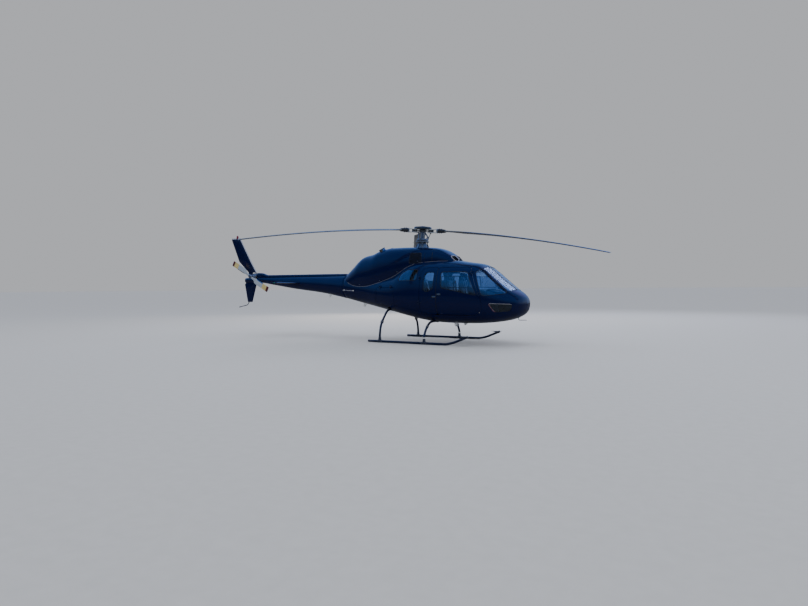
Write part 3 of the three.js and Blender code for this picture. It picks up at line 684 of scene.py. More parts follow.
def smoothRows(table, step):
    # rows between the table's rows, on a curve that never overshoots them
    rows = np.array(table, float)
    gap = np.linalg.norm(np.diff(rows[:, :4], axis=0), axis=1)
    slope = np.diff(rows, axis=0) / gap[:, None]
    tangent = np.zeros_like(rows)
    tangent[0], tangent[-1] = slope[0], slope[-1]
    for k in range(1, len(rows) - 1):
        a, b = slope[k - 1], slope[k]
        wa, wb = 2 * gap[k] + gap[k - 1], gap[k] + 2 * gap[k - 1]
        same = a * b > 0
        safeA, safeB = np.where(same, a, 1), np.where(same, b, 1)
        tangent[k] = np.where(same, (wa + wb) / (wa / safeA + wb / safeB), 0)
    result = []
    for k in range(len(rows) - 1):
        count = max(2, round(gap[k] / step))
        for t in np.arange(count) / count:
            result.append(rows[k] * (1 + 2 * t) * (1 - t) ** 2 + tangent[k] * gap[k] * t * (1 - t) ** 2
                          + rows[k + 1] * t * t * (3 - 2 * t) + tangent[k + 1] * gap[k] * t * t * (t - 1))
    return result + [rows[-1]]


def ringAt(row, count):
    # even points round one section, from the left side over the top
    x, bottom, top, half, wide, above, below = row
    fine = np.linspace(0, math.pi / 2, 240)

    def quarter(reach, square):
        y, z = half * np.cos(fine) ** (2 / square), reach * np.sin(fine) ** (2 / square)
        length = np.concatenate([[0], np.cumsum(np.hypot(np.diff(y), np.diff(z)))])
        want = np.linspace(0, length[-1], count // 4 + 1)
        return np.interp(want, length, y), np.interp(want, length, z)

    upY, upZ = quarter(top - wide, above)
    downY, downZ = quarter(wide - bottom, below)
    y = np.concatenate([upY[:-1], -upY[:0:-1], -downY[:-1], downY[:0:-1]])
    z = np.concatenate([upZ[:-1], upZ[:0:-1], -downZ[:-1], -downZ[:0:-1]])
    return np.stack([np.full(len(y), x + mastX), y, wide + z], 1)


def skinShape(rows, count):
    return lofted([ringAt(row, count) for row in rows])


def bodyRows(inset):
    rows = []
    for x, bottom, top, half, wide, above, below in bodyTable:
        near = min(inset, half * 0.9)
        tall = min(near, (top - bottom) * 0.45)
        back = inset * max(0.0, 1 - (shell["noseEnd"] - x) / 0.15)
        rows.append((x - back, bottom + tall, top - tall, half - near, wide, above, below))
    return smoothRows(rows, shell["stationStep"])


def cowlRows(inset=0.0):
    rows = []
    for i, (x, bottom, top, half, square) in enumerate(cowlTable):
        rows.append((x - (inset if i == 0 else 0), bottom, top - inset, half - inset, (bottom + top) / 2,
                     square, square))
    return smoothRows(rows, shell["stationStep"])


def bodyShape(inset=0.0):
    return skinShape(bodyRows(inset), shell["ringPoints"])


outerShape = bodyShape()
innerShape = bodyShape(shell["skin"])
outerGuide, innerGuide = makeGuide(outerShape), makeGuide(innerShape)
outerSolid, innerSolid = cutter(outerShape), cutter(innerShape)
shellSolid = carved(outerSolid, ("DIFFERENCE", innerSolid))
print("body skin laid out:", len(outerShape[0]), "points")
skins = [(outerGuide, "hull"), (innerGuide, "lining")]

# Outlines of doors and windows in the side view
doors = {
    "front": {"outline": [(0.957, 0.815), (2.100, 0.815), (2.262, 0.960), (2.262, 1.170), (1.870, 2.095),
                          (0.957, 2.095)],
              "round": 0.090,
              "window": [(1.085, 1.555), (1.330, 1.495), (2.125, 1.335), (1.815, 1.980), (1.060, 1.975)]},
    "rear": {"outline": [(0.430, 0.815), (0.943, 0.815), (0.943, 2.095), (0.500, 2.095), (0.430, 1.895)],
             "round": 0.060,
             "window": [(0.560, 1.460), (0.690, 1.430), (0.860, 1.530), (0.860, 1.975), (0.590, 1.975),
                        (0.540, 1.760)]},
    "baggage": {"outline": [(-1.230, 1.060), (-0.470, 0.960), (-0.430, 1.560), (-1.180, 1.560)],
                "round": 0.070},
}
windows = {
    "aft": [(-0.330, 1.750), (0.310, 1.760), (0.310, 2.060), (-0.100, 2.060), (-0.290, 1.930)],
    "forward": [(2.270, 1.325), (2.860, 1.385), (2.800, 1.500), (2.150, 2.040), (2.020, 1.985)],
    "chin": [(2.590, 0.900), (2.960, 0.935), (3.020, 1.110), (2.440, 1.130)],
}
glazing = {"round": 0.070, "outer": 0.004, "inner": 0.010, "paneGap": 0.0008, "gasketWidth": 0.014,
           "gasketHeight": 0.004, "gasketFoot": -0.012}
windscreen = {"outline": [(0.032, 0.030), (0.470, 0.060), (0.500, 0.300), (0.455, 1.040), (0.032, 1.075)],
              "foot": (2.945, 1.415), "slope": math.radians(38.5), "round": 0.050}


def shifted(outline):
    return [(x + mastX, z) for x, z in outline]


def sideCutter(outline, side, inner=0.25):
    return cutter(sidePrism(shifted(outline), side * inner, side * beyond))


for kind in doors.values():
    kind["shape"] = rounded(kind["outline"], kind["round"])
windowShapes = {name: rounded(outline, glazing["round"]) for name, outline in windows.items()}
for kind in ("front", "rear"):
    windowShapes[kind] = rounded(doors[kind]["window"], glazing["round"])
# Where each window's cutter starts, from the middle
windowInner = {"aft": 0.25, "forward": 0.548, "chin": 0.2, "front": 0.25, "rear": 0.25}


def windscreenMatrix():
    slope = windscreen["slope"]
    across, up = Vector((0, 1, 0)), Vector((-math.cos(slope), 0, math.sin(slope)))
    x, z = windscreen["foot"]
    return axesAt((x + mastX, 0, z), across, up, across.cross(up))


def windscreenOutline(side, inset=0.0):
    return shrunk(rounded([(y * side, s) for y, s in windscreen["outline"]], windscreen["round"]), inset)


def windscreenLine(side):
    # the pane's outline laid on the body skin
    matrix = windscreenMatrix()
    out = matrix.to_3x3() @ Vector((0, 0, 1))
    return [castOn(outerGuide, matrix @ Vector((y, s, 0)) + out * 1.5, -out)
            for y, s in divided(windscreenOutline(side))]


def windscreenCutter(side, inset=0.0):
    outline = windscreenOutline(side, inset)
    return cutter(movedShape(lofted([[(y, s, d) for y, s in outline] for d in (-0.45, 0.45)]),
                             windscreenMatrix()))


def fromSide(x, z, side, guide=outerGuide):
    # the place and normal on a skin, seen from that side
    return castOn(guide, (x + mastX, side * 3, z), (0, -side, 0))


def skinLine(outline, side, guide=outerGuide, step=0.02, closed=True):
    return [fromSide(x, z, side, guide) for x, z in divided(outline, step, closed)]


def onSkin(line, profile, closed=True, sink=0.0):
    # a strip along pairs of a place and a normal
    return strip([p - n * sink for p, n in line], [n for p, n in line], profile, closed)


# Cutters that several panels share
gap = shell["doorGap"]
doorHoles = [sideCutter(shrunk(doors[kind]["shape"], -gap), side) for kind in ("front", "rear")
             for side in sides.values()]
seam = 0.0006
cabin = {"roofSide": 2.120, "noseSeam": [(2.150, 1.225), (3.300, 1.375)],
         "tubeChannel": (0.630, 0.730, 0.660), "farAhead": 4.0, "postFoot": (1.780, 2.060)}


def boxCutter(x0, x1, y0, y1, z0, z1):
    return cutter(boxShape(x0 + mastX, x1 + mastX, y0, y1, z0, z1))


def sliceCutter(x0, x1, z0, z1):
    return boxCutter(x0, x1, -beyond, beyond, z0, z1)


def prismCutter(outline):
    return cutter(sidePrism(shifted(outline), -beyond, beyond))


def windowCutter(name, side):
    return sideCutter(windowShapes[name], side, windowInner[name])


def cut(tools):
    return [("DIFFERENCE", tool) for tool in tools]


# Belly, nose, canopy frame and side panels
def makeCabinPanels():
    bulkhead, front, roofSide = shell["bulkhead"], shell["panelFront"], cabin["roofSide"]
    aft, fore, top = cabin["tubeChannel"]
    floorBox = sliceCutter(bulkhead, cabin["farAhead"], 0, shell["floorTop"])
    belly = carved(outerSolid, ("INTERSECT", floorBox), ("DIFFERENCE", sliceCutter(aft, fore, 0, top)))
    skinnedPiece("bellyStructure", belly, [(outerGuide, "hull")], "airframe", ["belly_structure"])
    floor = shell["floorTop"] + seam
    (low, lowZ), (high, highZ) = cabin["noseSeam"]
    noseTool = prismCutter([(2.000, floor), (3.400, floor), (high, highZ), (low, lowZ), (2.000, lowZ)])
    chins = [windowCutter("chin", side) for side in sides.values()]
    nose = carved(shellSolid, ("INTERSECT", noseTool), *cut(doorHoles + chins))
    skinnedPiece("noseShell", nose, skins, "airframe", ["nose_shell"])
    roofTool = prismCutter([(bulkhead, roofSide), (front + seam, roofSide),
                            (front + seam, cabin["postFoot"][1]), cabin["postFoot"], (1.880, lowZ + seam),
                            (low, lowZ + seam), (high, highZ + seam), (3.400, 2.500), (bulkhead, 2.500)])
    holes = [windowCutter("forward", side) for side in sides.values()]
    holes += [windscreenCutter(side) for side in sides.values()]
    canopy = carved(shellSolid, ("INTERSECT", roofTool), *cut(doorHoles + holes))
    skinnedPiece("canopyFrame", canopy, skins, "airframe", ["canopy_frame"])
    for name, side in sides.items():
        outline = [(bulkhead, floor), (front, floor), (front, roofSide - seam), (bulkhead, roofSide - seam)]
        panel = carved(shellSolid, ("INTERSECT", sideCutter(outline, side, 0.1)),
                       *cut(doorHoles + [windowCutter("aft", side)]))
        skinnedPiece(f"aftSidePanel_{name}", panel, skins, "airframe", [f"aft_side_panel_{name}"])


makeCabinPanels()
flangeSolid = cutter(bodyShape(shell["flange"]))


# Doors: an outer leaf to the outline and an inner one set in from it
def makeDoors():
    for name, side in sides.items():
        for kind, door in doors.items():
            plug = sideCutter(shrunk(door["shape"], shell["plugInset"]), side)
            step = carved(flangeSolid, ("DIFFERENCE", plug))
            steps = [("INTERSECT", sideCutter(door["shape"], side)), ("DIFFERENCE", step)]
            if kind != "baggage":
                steps.append(("DIFFERENCE", windowCutter(kind, side)))
            leaf = carved(shellSolid, *steps)
            skinnedPiece(f"{kind}Door_{name}", leaf, skins, f"{kind}_door_{name}",
                         [f"{kind}_door_{name}"])


makeDoors()
print("cabin panels and doors made")


# Glazing: panes a little under the skin, each in a rubber gasket
def makeGlazing():
    paneOuter, paneInner = bodyShape(glazing["outer"]), bodyShape(glazing["inner"])
    layer = carved(cutter(paneOuter), ("DIFFERENCE", cutter(paneInner)))
    faces = [(makeGuide(paneOuter), "glass"), (makeGuide(paneInner), "glass")]
    width, height = glazing["gasketWidth"] / 2, glazing["gasketHeight"]
    profile = [(-width, glazing["gasketFoot"]), (width, glazing["gasketFoot"]), (width, height * 0.4),
               (width * 0.6, height), (-width * 0.6, height), (-width, height * 0.4)]
    nodes = {"aft": "aft_window", "forward": "forward_window", "chin": "chin_window",
             "front": "front_door_glass", "rear": "rear_door_glass"}
    for name, side in sides.items():
        gaskets = []
        for kind, node in nodes.items():
            outline = shrunk(windowShapes[kind], glazing["paneGap"])
            pane = carved(layer, ("INTERSECT", sideCutter(outline, side, windowInner[kind])))
            body = f"{kind}_door_{name}" if kind in doors else "airframe"
            skinnedPiece(f"{kind}Window_{name}", pane, faces, body, [f"{node}_{name}"])
            ring = (onSkin(skinLine(windowShapes[kind], side), profile), "rubber")
            if kind in doors:
                makePiece(f"{kind}WindowGasket_{name}", [ring], body)
            else:
                gaskets.append(ring)
        pane = carved(layer, ("INTERSECT", windscreenCutter(side, glazing["paneGap"])))
        skinnedPiece(f"windscreenPane_{name}", pane, faces, "airframe", [f"windscreen_{name}"])
        gaskets.append((onSkin(windscreenLine(side), profile), "rubber"))
        makePiece(f"cabinGaskets_{name}", gaskets, "airframe")


makeGlazing()
print("glazing made")


# Rear body with its baggage bays, and the deck cowls
rear = {"skin": 0.060, "baggageDepth": 0.330, "bayWall": 0.040, "bayRim": 0.025, "rimStep": 0.006,
        "tubeX": -0.755, "channelHalf": 0.05, "channelTop": 0.985, "beam": (0.11, 0.62, 1.02)}
deck = {"skin": 0.020, "seamX": 0.359, "mastHole": 0.224, "mastHoleX": 0.018, "overBody": 0.0004,
        "mouth": [(0.030, 2.300), (0.275, 2.300), (0.285, 2.425), (0.030, 2.455)], "mouthRound": 0.045}
exhaust = {"foot": (-1.080, 0.185, 2.430), "tip": (-1.200, 0.290, 2.715), "radius": 0.095, "gap": 0.004,
           "engineTop": 2.3803}


def makeRearBody():
    shape, tubeX, depth = doors["baggage"]["shape"], rear["tubeX"], rear["baggageDepth"]
    baySkin = cutter(bodyShape(shell["skin"] + rear["rimStep"]))
    steps = [("DIFFERENCE", cutter(bodyShape(rear["skin"])))]
    for side in sides.values():
        wall = sideCutter(shrunk(shape, -rear["bayWall"]), side, depth - rear["bayWall"])
        steps.append(("UNION", carved(outerSolid, ("INTERSECT", wall))))
    half, wide, top = rear["beam"]
    beam = boxCutter(tubeX - half, tubeX + half, -wide, wide, 0, top)
    steps.append(("UNION", carved(outerSolid, ("INTERSECT", beam))))
    half = rear["channelHalf"]
    steps += cut([sliceCutter(tubeX - half, tubeX + half, 0, rear["channelTop"])])
    for side in sides.values():
        mouth = carved(sideCutter(shrunk(shape, -gap), side), ("DIFFERENCE", baySkin))
        steps += cut([mouth, sideCutter(shrunk(shape, rear["bayRim"]), side, depth)])
    steps.append(("INTERSECT", sliceCutter(-4, shell["bulkhead"] - seam, 0, 2.6)))
    solid = carved(outerSolid, *steps)
    skinnedPiece("rearBody", solid, [(outerGuide, "hull")], "airframe", ["rear_body"])


cowlOuter = skinShape(cowlRows(), 96)
cowlGuide = makeGuide(cowlOuter)


def alongExhaust(side, share):
    x, y, z = Vector(exhaust["foot"]).lerp(Vector(exhaust["tip"]), share)
    return Vector((x + mastX, y * side, z))


def makeCowls():
    inner = skinShape(cowlRows(deck["skin"]), 96)
    innerCowl = makeGuide(inner)
    faces = [(cowlGuide, "hull"), (innerCowl, "lining")]
    solid = carved(cutter(cowlOuter), *cut([cutter(inner), cutter(bodyShape(-deck["overBody"]))]))
    x = deck["mastHoleX"] + mastX
    mast = cutter(rod((x, 0, 2.5), (x, 0, 2.9), deck["mastHole"], 64, 0.0))
    mouths = []
    for side in sides.values():
        outline = rounded([(side * y, z) for y, z in deck["mouth"]], deck["mouthRound"])
        mouths.append(cutter(lofted([[(x + mastX, y, z) for y, z in outline] for x in (0.92, 1.3)])))
    front = carved(solid, ("INTERSECT", sliceCutter(deck["seamX"] + seam, 1.3, 1.9, 2.9)),
                   *cut([mast] + mouths))
    skinnedPiece("gearboxCowl", front, faces, "airframe", ["gearbox_cowl"])
    bore = exhaust["radius"] + exhaust["gap"]
    holes = [cutter(rod(alongExhaust(side, 0.0), alongExhaust(side, 1.4), bore, 48, 0.0))
             for side in sides.values()]
    aft = carved(solid, ("INTERSECT", sliceCutter(-2.6, deck["seamX"], 1.5, 2.9)), *cut([mast] + holes))
    skinnedPiece("engineCowl", aft, faces, "airframe", ["engine_cowl"])


makeRearBody()
makeCowls()
print("rear body and cowls made")

# Tail boom, its drive shaft cover, fins and stabiliser. Cover rows: station, bottom, top, half width
boom = {"cover": [(-2.700, 1.750, 1.996, 0.095), (-3.200, 1.800, 2.000, 0.085),
                  (-6.000, 1.850, 2.004, 0.072), (-6.280, 1.850, 2.075, 0.072),
                  (-6.490, 1.850, 2.085, 0.060)], "stabiliserSpan": 2.530, "lead": -4.445, "trail": -4.950,
        "height": 1.725, "finFoot": -6.8325, "wall": 0.04, "beacon": (-7.450, 3.300), "paleEdge": 3,
        "capFrom": 3.285}
boomRows = smoothRows([(x, bottom, top, half, (bottom + top) / 2, 2, 2)
                       for x, bottom, top, half in boomTable], 0.08)
coverRows = smoothRows([(x, bottom, top, half, (bottom + top) / 2, 3.4, 3.4)
                        for x, bottom, top, half in boom["cover"]], 0.08)
boomGuide = makeGuide(skinShape(boomRows, 96))
coverGuide = makeGuide(skinShape(coverRows, 48))


def aerofoil(chord, thick, count=18, grow=0.0):
    # a closed ring of points, its leading edge 0.3 chord ahead of the origin
    upper, lower = [], []
    for i in range(count + 1):
        s = 0.5 * (1 - math.cos(math.pi * i / count))
        t = thick * 5.07 * (0.2969 * math.sqrt(s) - 0.126 * s - 0.3516 * s ** 2 + 0.2843 * s ** 3
                            - 0.095 * s ** 4)
        t = (t + 0.0012) / 1.02
        along = (0.3 - s) * chord + grow * (1 - 2 * s)
        upper.append((along, t + grow))
        if i > 0:
            lower.append((along, -t - grow))
    return upper + lower[::-1]


def finShape(sections, steps=6):
    # straight between the sections
    rings = []
    for a, b in zip(sections, sections[1:]):
        for k in range(steps + (b is sections[-1])):
            z, lead, trail, thick = (p + (q - p) * k / steps for p, q in zip(a, b))
            chord = lead - trail
            rings.append([(lead - chord * 0.3 + x + mastX, y, z) for x, y in aerofoil(chord, thick)])
    return lofted(rings)


def stabiliserShape(span, grow=0.0):
    chord = boom["lead"] - boom["trail"]
    ends = []
    for share, scale in ((-1, 0.93), (-0.993, 0.99), (-0.985, 1), (0.985, 1), (0.993, 0.99), (1, 0.93)):
        scale = 1 if grow else scale  # a grown shape cuts the slot and keeps its full section
        ends.append([(boom["lead"] - chord * 0.3 + x * scale + mastX, share * span / 2,
                      boom["height"] - z * scale) for x, z in aerofoil(chord, 0.048, grow=grow)])
    return lofted(ends)


# Fin sections: height, leading edge, trailing edge, thickness
upperFin = [(2.100, -6.545, -6.925, 0.046), (2.497, -6.795, -7.378, 0.052), (3.290, -7.290, -7.738, 0.036),
            (3.318, -7.316, -7.732, 0.024), (3.330, -7.340, -7.715, 0.006)]
lowerFin = [(1.076, -6.775, -6.975, 0.010), (1.085, -6.763, -6.988, 0.026), (1.105, -6.757, -6.993, 0.036),
            (1.690, -6.562, -7.117, 0.050), (1.765, -6.550, -7.050, 0.050)]


def finLooks(shape):
    # a pale strip along the leading edge and a pale cap
    chosen, size = [], len(aerofoil(1, 1))
    for face in shape[1]:
        edge = len(face) == 4 and max(min(i % size, size - i % size) for i in face) <= boom["paleEdge"]
        cap = min(shape[0][i][2] for i in face) > boom["capFrom"]
        chosen.append("paleEdge" if edge or cap else "hull")
    return chosen


def makeTail():
    wall, cover = boom["wall"], cutter(skinShape(coverRows, 48))
    slot = cutter(stabiliserShape(0.8, seam))
    inside = smoothRows([(x, bottom + wall, top - wall, half - wall, (bottom + top) / 2, 2, 2)
                         for x, bottom, top, half in boomTable[:4]], 0.2)
    solid = carved(cutter(skinShape(boomRows, 96)), ("DIFFERENCE", cutter(skinShape(inside, 48))),
                   ("UNION", cover), ("DIFFERENCE", slot))
    skinnedPiece("tailBoom", solid, [(boomGuide, "hull"), (coverGuide, "hull")], "airframe",
                 ["tail_boom"])
    makePiece("tailplane", [(stabiliserShape(boom["stabiliserSpan"]), "hull")], "airframe",
              ["stabiliser"])
    foot = roundedBox((0.175, 0.050, 0.230), (boom["finFoot"] + mastX, 0, 1.995), 0.012)
    x, z = boom["beacon"]
    beacon = turned([(0, 0.045), (0.02, 0.045), (0.03, 0.038), (0.075, 0.036), (0.105, 0.024),
                     (0.115, 0.008)], (x + mastX, 0, z))
    fin = finShape(upperFin)
    makePiece("upperFin", [(fin, finLooks(fin)), (foot, "hull"), (beacon, "redLens")], "airframe",
              ["upper_fin"], 30)
    skidLine = [(-6.880, 0, 1.125), (-6.940, 0, 1.060), (-6.985, 0, 1.000), (-7.040, 0, 0.966),
                (-7.150, 0, 0.944), (-7.280, 0, 0.918), (-7.400, 0, 0.893)]
    tailSkid = tube([(x + mastX, y, z) for x, y, z in smoothLine(skidLine, 6)], 0.013, 14)
    shoe = rod((-7.405 + mastX, 0, 0.892), (-7.33 + mastX, 0, 0.907), 0.0165, 14)
    makePiece("lowerFin", [(finShape(lowerFin), "hull"), (tailSkid, "darkSteel"), (shoe, "darkSteel")],
              "airframe", ["lower_fin"], 30)


makeTail()
clearSpare()
print("tail made")


# Rotor head and blades, laid out about the mast axis and then set on the mast
rotor = {"hub": (0.044, 0.0, 3.205), "tilt": math.radians(2.77), "radius": 5.345, "droop": 0.546,
         "bladeFoot": 0.5113, "sleeve": (0.150, 0.510), "sleeveHalf": (0.062, 0.050),
         "scissors": math.radians(70)}
rotorMatrix = (Matrix.Translation((rotor["hub"][0] + mastX, 0, rotor["hub"][2]))
               @ Matrix.Rotation(rotor["tilt"], 4, "Y"))
bladeTurns = [0, 2 * math.pi / 3, -2 * math.pi / 3]

looks["alloy"] = finish("castAlloy", (0.34, 0.36, 0.38), 0.42, 0.85, dust=0.15, mottle=0.15, bump=0.2,
                        grain=180.0)
looks["satinSteel"] = finish("satinSteel", (0.46, 0.48, 0.50), 0.28, 1.0, dust=0.08, mottle=0.1)
looks["starGlass"] = finish("wovenStarArm", (0.050, 0.058, 0.062), 0.42, coat=0.3, dust=0.12, bump=0.25,
                            grain=700.0)
looks["sleeve"] = finish("sleevePlate", (0.42, 0.46, 0.50), 0.40, 0.2, dust=0.1, wear=0.4,
                         wearColor=(0.6, 0.6, 0.6, 1))
looks["cuff"] = finish("bladeCuff", (0.020, 0.022, 0.026), 0.50, coat=0.2, dust=0.1)
looks["absorber"] = finish("absorberPaint", (0.030, 0.040, 0.050), 0.30, 0.4, coat=0.4, dust=0.15)
looks["blade"] = finish("bladeGrey", (0.105, 0.115, 0.125), 0.36, coat=0.35, dust=0.1, mottle=0.12,
                        bump=0.04)
looks["bladeSteel"] = finish("erosionStrip", (0.50, 0.51, 0.52), 0.24, 1.0, dust=0.05, mottle=0.15)
looks["paleTip"] = finish("paleTipPaint", (0.60, 0.61, 0.60), 0.35, coat=0.3, dust=0.1)
looks["yellowBand"] = finish("yellowBand", (0.58, 0.47, 0.19), 0.38, coat=0.3, dust=0.08)
looks["redBand"] = finish("darkRedBand", (0.085, 0.008, 0.010), 0.38, coat=0.3, dust=0.08)
looks["tailBlade"] = finish("tailBladeGrey", (0.34, 0.39, 0.46), 0.38, coat=0.3, dust=0.1, mottle=0.08)


def onArm(parts, turn):
    return placed(parts, Matrix.Rotation(turn, 4, "Z"))


def sleevePlate(low, high):
    (start, end), (wide, narrow) = rotor["sleeve"], rotor["sleeveHalf"]
    outline = rounded([(start, -wide), (end, -narrow), (end, narrow), (start, wide)], 0.030)
    return slab(outline, low, high, 0.003)


def squared(value, power):
    # a cosine or sine flattened towards a square section
    return math.copysign(abs(value) ** power, value)


def starArm():
    # half width and the lowest and highest point along the arm, thinned where it flexes
    rows = [(0.000, 0.090, -0.0220, 0.0180), (0.090, 0.088, -0.0220, 0.0180),
            (0.130, 0.080, -0.0210, 0.0170), (0.165, 0.066, -0.0150, 0.0110),
            (0.200, 0.058, -0.0130, 0.0090), (0.300, 0.050, -0.0130, 0.0090),
            (0.322, 0.048, -0.0180, 0.0140), (0.336, 0.047, -0.0180, 0.0140),
            (0.340, 0.043, -0.0150, 0.0110)]
    rings = []
    for r, half, low, high in rows:
        middle, tall = (low + high) / 2, (high - low) / 2
        rings.append([(r, half * squared(math.cos(a), 0.35), middle + tall * squared(math.sin(a), 0.35))
                      for a in roundAngles(28)])
    return lofted(rings)


# Turned parts of the head: rows of height and radius
headTurned = [
    ("satinSteel", 40, [(-0.599, 0.050), (-0.597, 0.052), (-0.300, 0.052), (-0.298, 0.049), (-0.070, 0.049),
                        (-0.060, 0.060), (-0.045, 0.088), (-0.024, 0.092), (0.020, 0.095), (0.052, 0.088),
                        (0.060, 0.075)]),
    # vibration absorber: a shallow drum with a cap above the star
    ("absorber", 72, [(0.045, 0.210), (0.046, 0.250), (0.052, 0.261), (0.064, 0.262), (0.094, 0.252),
                      (0.104, 0.246), (0.112, 0.236), (0.112, 0.150), (0.106, 0.120), (0.106, 0.088)]),
    ("alloy", 40, [(0.098, 0.088), (0.118, 0.088), (0.124, 0.082), (0.130, 0.064), (0.135, 0.056)]),
    # swashplate: the turning ring over its bearing
    ("alloy", 56, [(-0.285, 0.120), (-0.285, 0.170), (-0.280, 0.175), (-0.262, 0.175), (-0.256, 0.166),
                   (-0.238, 0.158), (-0.230, 0.151), (-0.225, 0.120), (-0.232, 0.075)]),
]


def makeHead():
    up = (0, 0, 1)
    parts = [(turned(rows, count=count), look) for look, count, rows in headTurned]
    for radius, level, size, height in ((0.075, 0.122, 0.0065, 0.009), (0.215, 0.110, 0.0070, 0.008)):
        parts += boltRing((0, 0, level), (1, 0, 0), (0, 1, 0), radius, 12, size, height)
    for turn in bladeTurns:
        arm = [(starArm(), "starGlass"), (sleevePlate(0.026, 0.044), "sleeve"),
               (sleevePlate(-0.062, -0.044), "sleeve")]
        # thrust bearing in the arm's window: layers of rubber and metal about the feathering point
        for level, radius, look in ((-0.043, 0.050, "alloy"), (-0.036, 0.047, "rubber"),
                                    (-0.030, 0.043, "alloy"), (-0.024, 0.040, "rubber"),
                                    (0.006, 0.040, "rubber"), (0.012, 0.043, "alloy"),
                                    (0.018, 0.047, "rubber"), (0.022, 0.050, "alloy")):
            arm.append((rod((0.235, 0, level), (0.235, 0, level + 0.0055), radius, 28, 0.03), look))
        for middle, tall in ((-0.031, 0.026), (0.020, 0.012)):  # damper pads between arm end and sleeve
            arm.append((roundedBox((0.050, 0.086, tall), (0.317, 0, middle), 0.004), "rubber"))
        arm.append((roundedBox((0.045, 0.090, 0.102), (0.488, 0, -0.009), 0.006), "alloy"))
        for r, across, size in ((0.480, 0.026, 0.013), (0.190, 0.040, 0.008), (0.280, 0.038, 0.008),
                                (0.400, 0.036, 0.006)):
            for y in (-across, across):
                arm.append((bolt((r, y, 0.043), up, size, size * 0.9), "satinSteel"))
                arm.append((bolt((r, y, -0.061), (0, 0, -1), size, size * 0.8), "satinSteel"))
        # pitch horn and its link down to the swashplate
        horn = rounded([(0.176, 0.040), (0.230, 0.040), (0.216, 0.138), (0.190, 0.140)], 0.012)
        arm.append((slab(horn, -0.062, -0.042, 0.003), "alloy"))
        low, high = Vector((0.120, 0.110, -0.250)), Vector((0.203, 0.120, -0.052))
        arm.append((rod(low, high, 0.0095, 18), "satinSteel"))
        for start, end in ((0.03, 0.20), (0.80, 0.97)):
            arm.append((rod(low.lerp(high, start), low.lerp(high, end), 0.0150, 6, 0.1), "alloy"))
        for place in (low, high):
            arm.append((rod(place - Vector((0, 0.018, 0)), place + Vector((0, 0.018, 0)), 0.016, 20),
                        "darkSteel"))
        parts += onArm(arm, turn)
    # scissors between mast and swashplate
    scissors = [(rod((0.205, -0.036, -0.170), (0.205, 0.036, -0.170), 0.013, 16), "satinSteel")]
    for side in (-1, 1):
        knee = (0.205, side * 0.022, -0.170)
        for end in ((0.088, side * 0.018, -0.050), (0.150, side * 0.026, -0.245)):
            scissors.append((rod(end, knee, 0.012, 14, 0.2, 0.009), "alloy"))
    parts += onArm(scissors, rotor["scissors"])
    makePiece("rotorHead", placed(parts, rotorMatrix), "main_rotor", ["rotor_head"], 32)


makeHead()

# Blade sections: radius, chord, thickness, twist in degrees, and how far the section is a plain oval
bladeTable = [
    (0.5113, 0.112, 0.104, 0, 1), (0.520, 0.120, 0.114, 0, 1), (0.560, 0.122, 0.117, 0, 1),
    (0.690, 0.122, 0.104, 0, 1), (0.728, 0.118, 0.092, 0, 1), (0.738, 0.104, 0.064, 1, 1),
    (0.780, 0.104, 0.050, 3, 0.7), (0.840, 0.122, 0.046, 4, 0.2), (1.000, 0.210, 0.043, 6, 0),
    (1.120, 0.290, 0.041, 6, 0), (1.200, 0.336, 0.040, 6, 0), (1.250, 0.350, 0.040, 6, 0),
    (2.300, 0.350, 0.040, 4, 0), (3.300, 0.350, 0.036, 2, 0), (4.300, 0.350, 0.034, 0, 0),
    (5.310, 0.350, 0.030, -2, 0), (5.335, 0.343, 0.024, -2, 0), (5.345, 0.325, 0.014, -2, 0),
]
bladeMarks = {"stripFrom": 1.30, "stripPoints": 5, "cuffEnd": 0.732, "tabs": [3.05, 3.75],
              "tabSize": (0.22, 0.045, 0.0025), "tipBands": ["paleTip", "blade", "blade"], "tipFrom": 5.06}


def bladeDroop(r):
    s = (r - rotor["bladeFoot"]) / (rotor["radius"] - rotor["bladeFoot"])
    return -rotor["droop"] * (0.4 * s + 0.6 * s * s) - 0.002


def bladeShape(count=16):
    rings, stations = [], []
    for a, b in zip(bladeTable, bladeTable[1:]):
        steps = max(1, math.ceil((b[0] - a[0]) / 0.11))
        for k in range(steps + (b is bladeTable[-1])):
            r, chord, thick, twist, oval = (p + (q - p) * k / steps for p, q in zip(a, b))
            pitch, ring = math.radians(twist), []
            for i, (x, z) in enumerate(aerofoil(chord, thick, count)):
                turn = math.pi * i / count
                x = x * (1 - oval) + oval * (chord * 0.5 * squared(math.cos(turn), 0.7) - 0.04 * chord)
                z = z * (1 - oval) + oval * thick * 0.5 * squared(math.sin(turn), 0.7)
                across = z * math.sin(pitch) - x * math.cos(pitch)
                ring.append((r, across, bladeDroop(r) + x * math.sin(pitch) + z * math.cos(pitch)))
            rings.append(ring)
            stations.append(r)
    return lofted(rings), stations, len(rings[0])


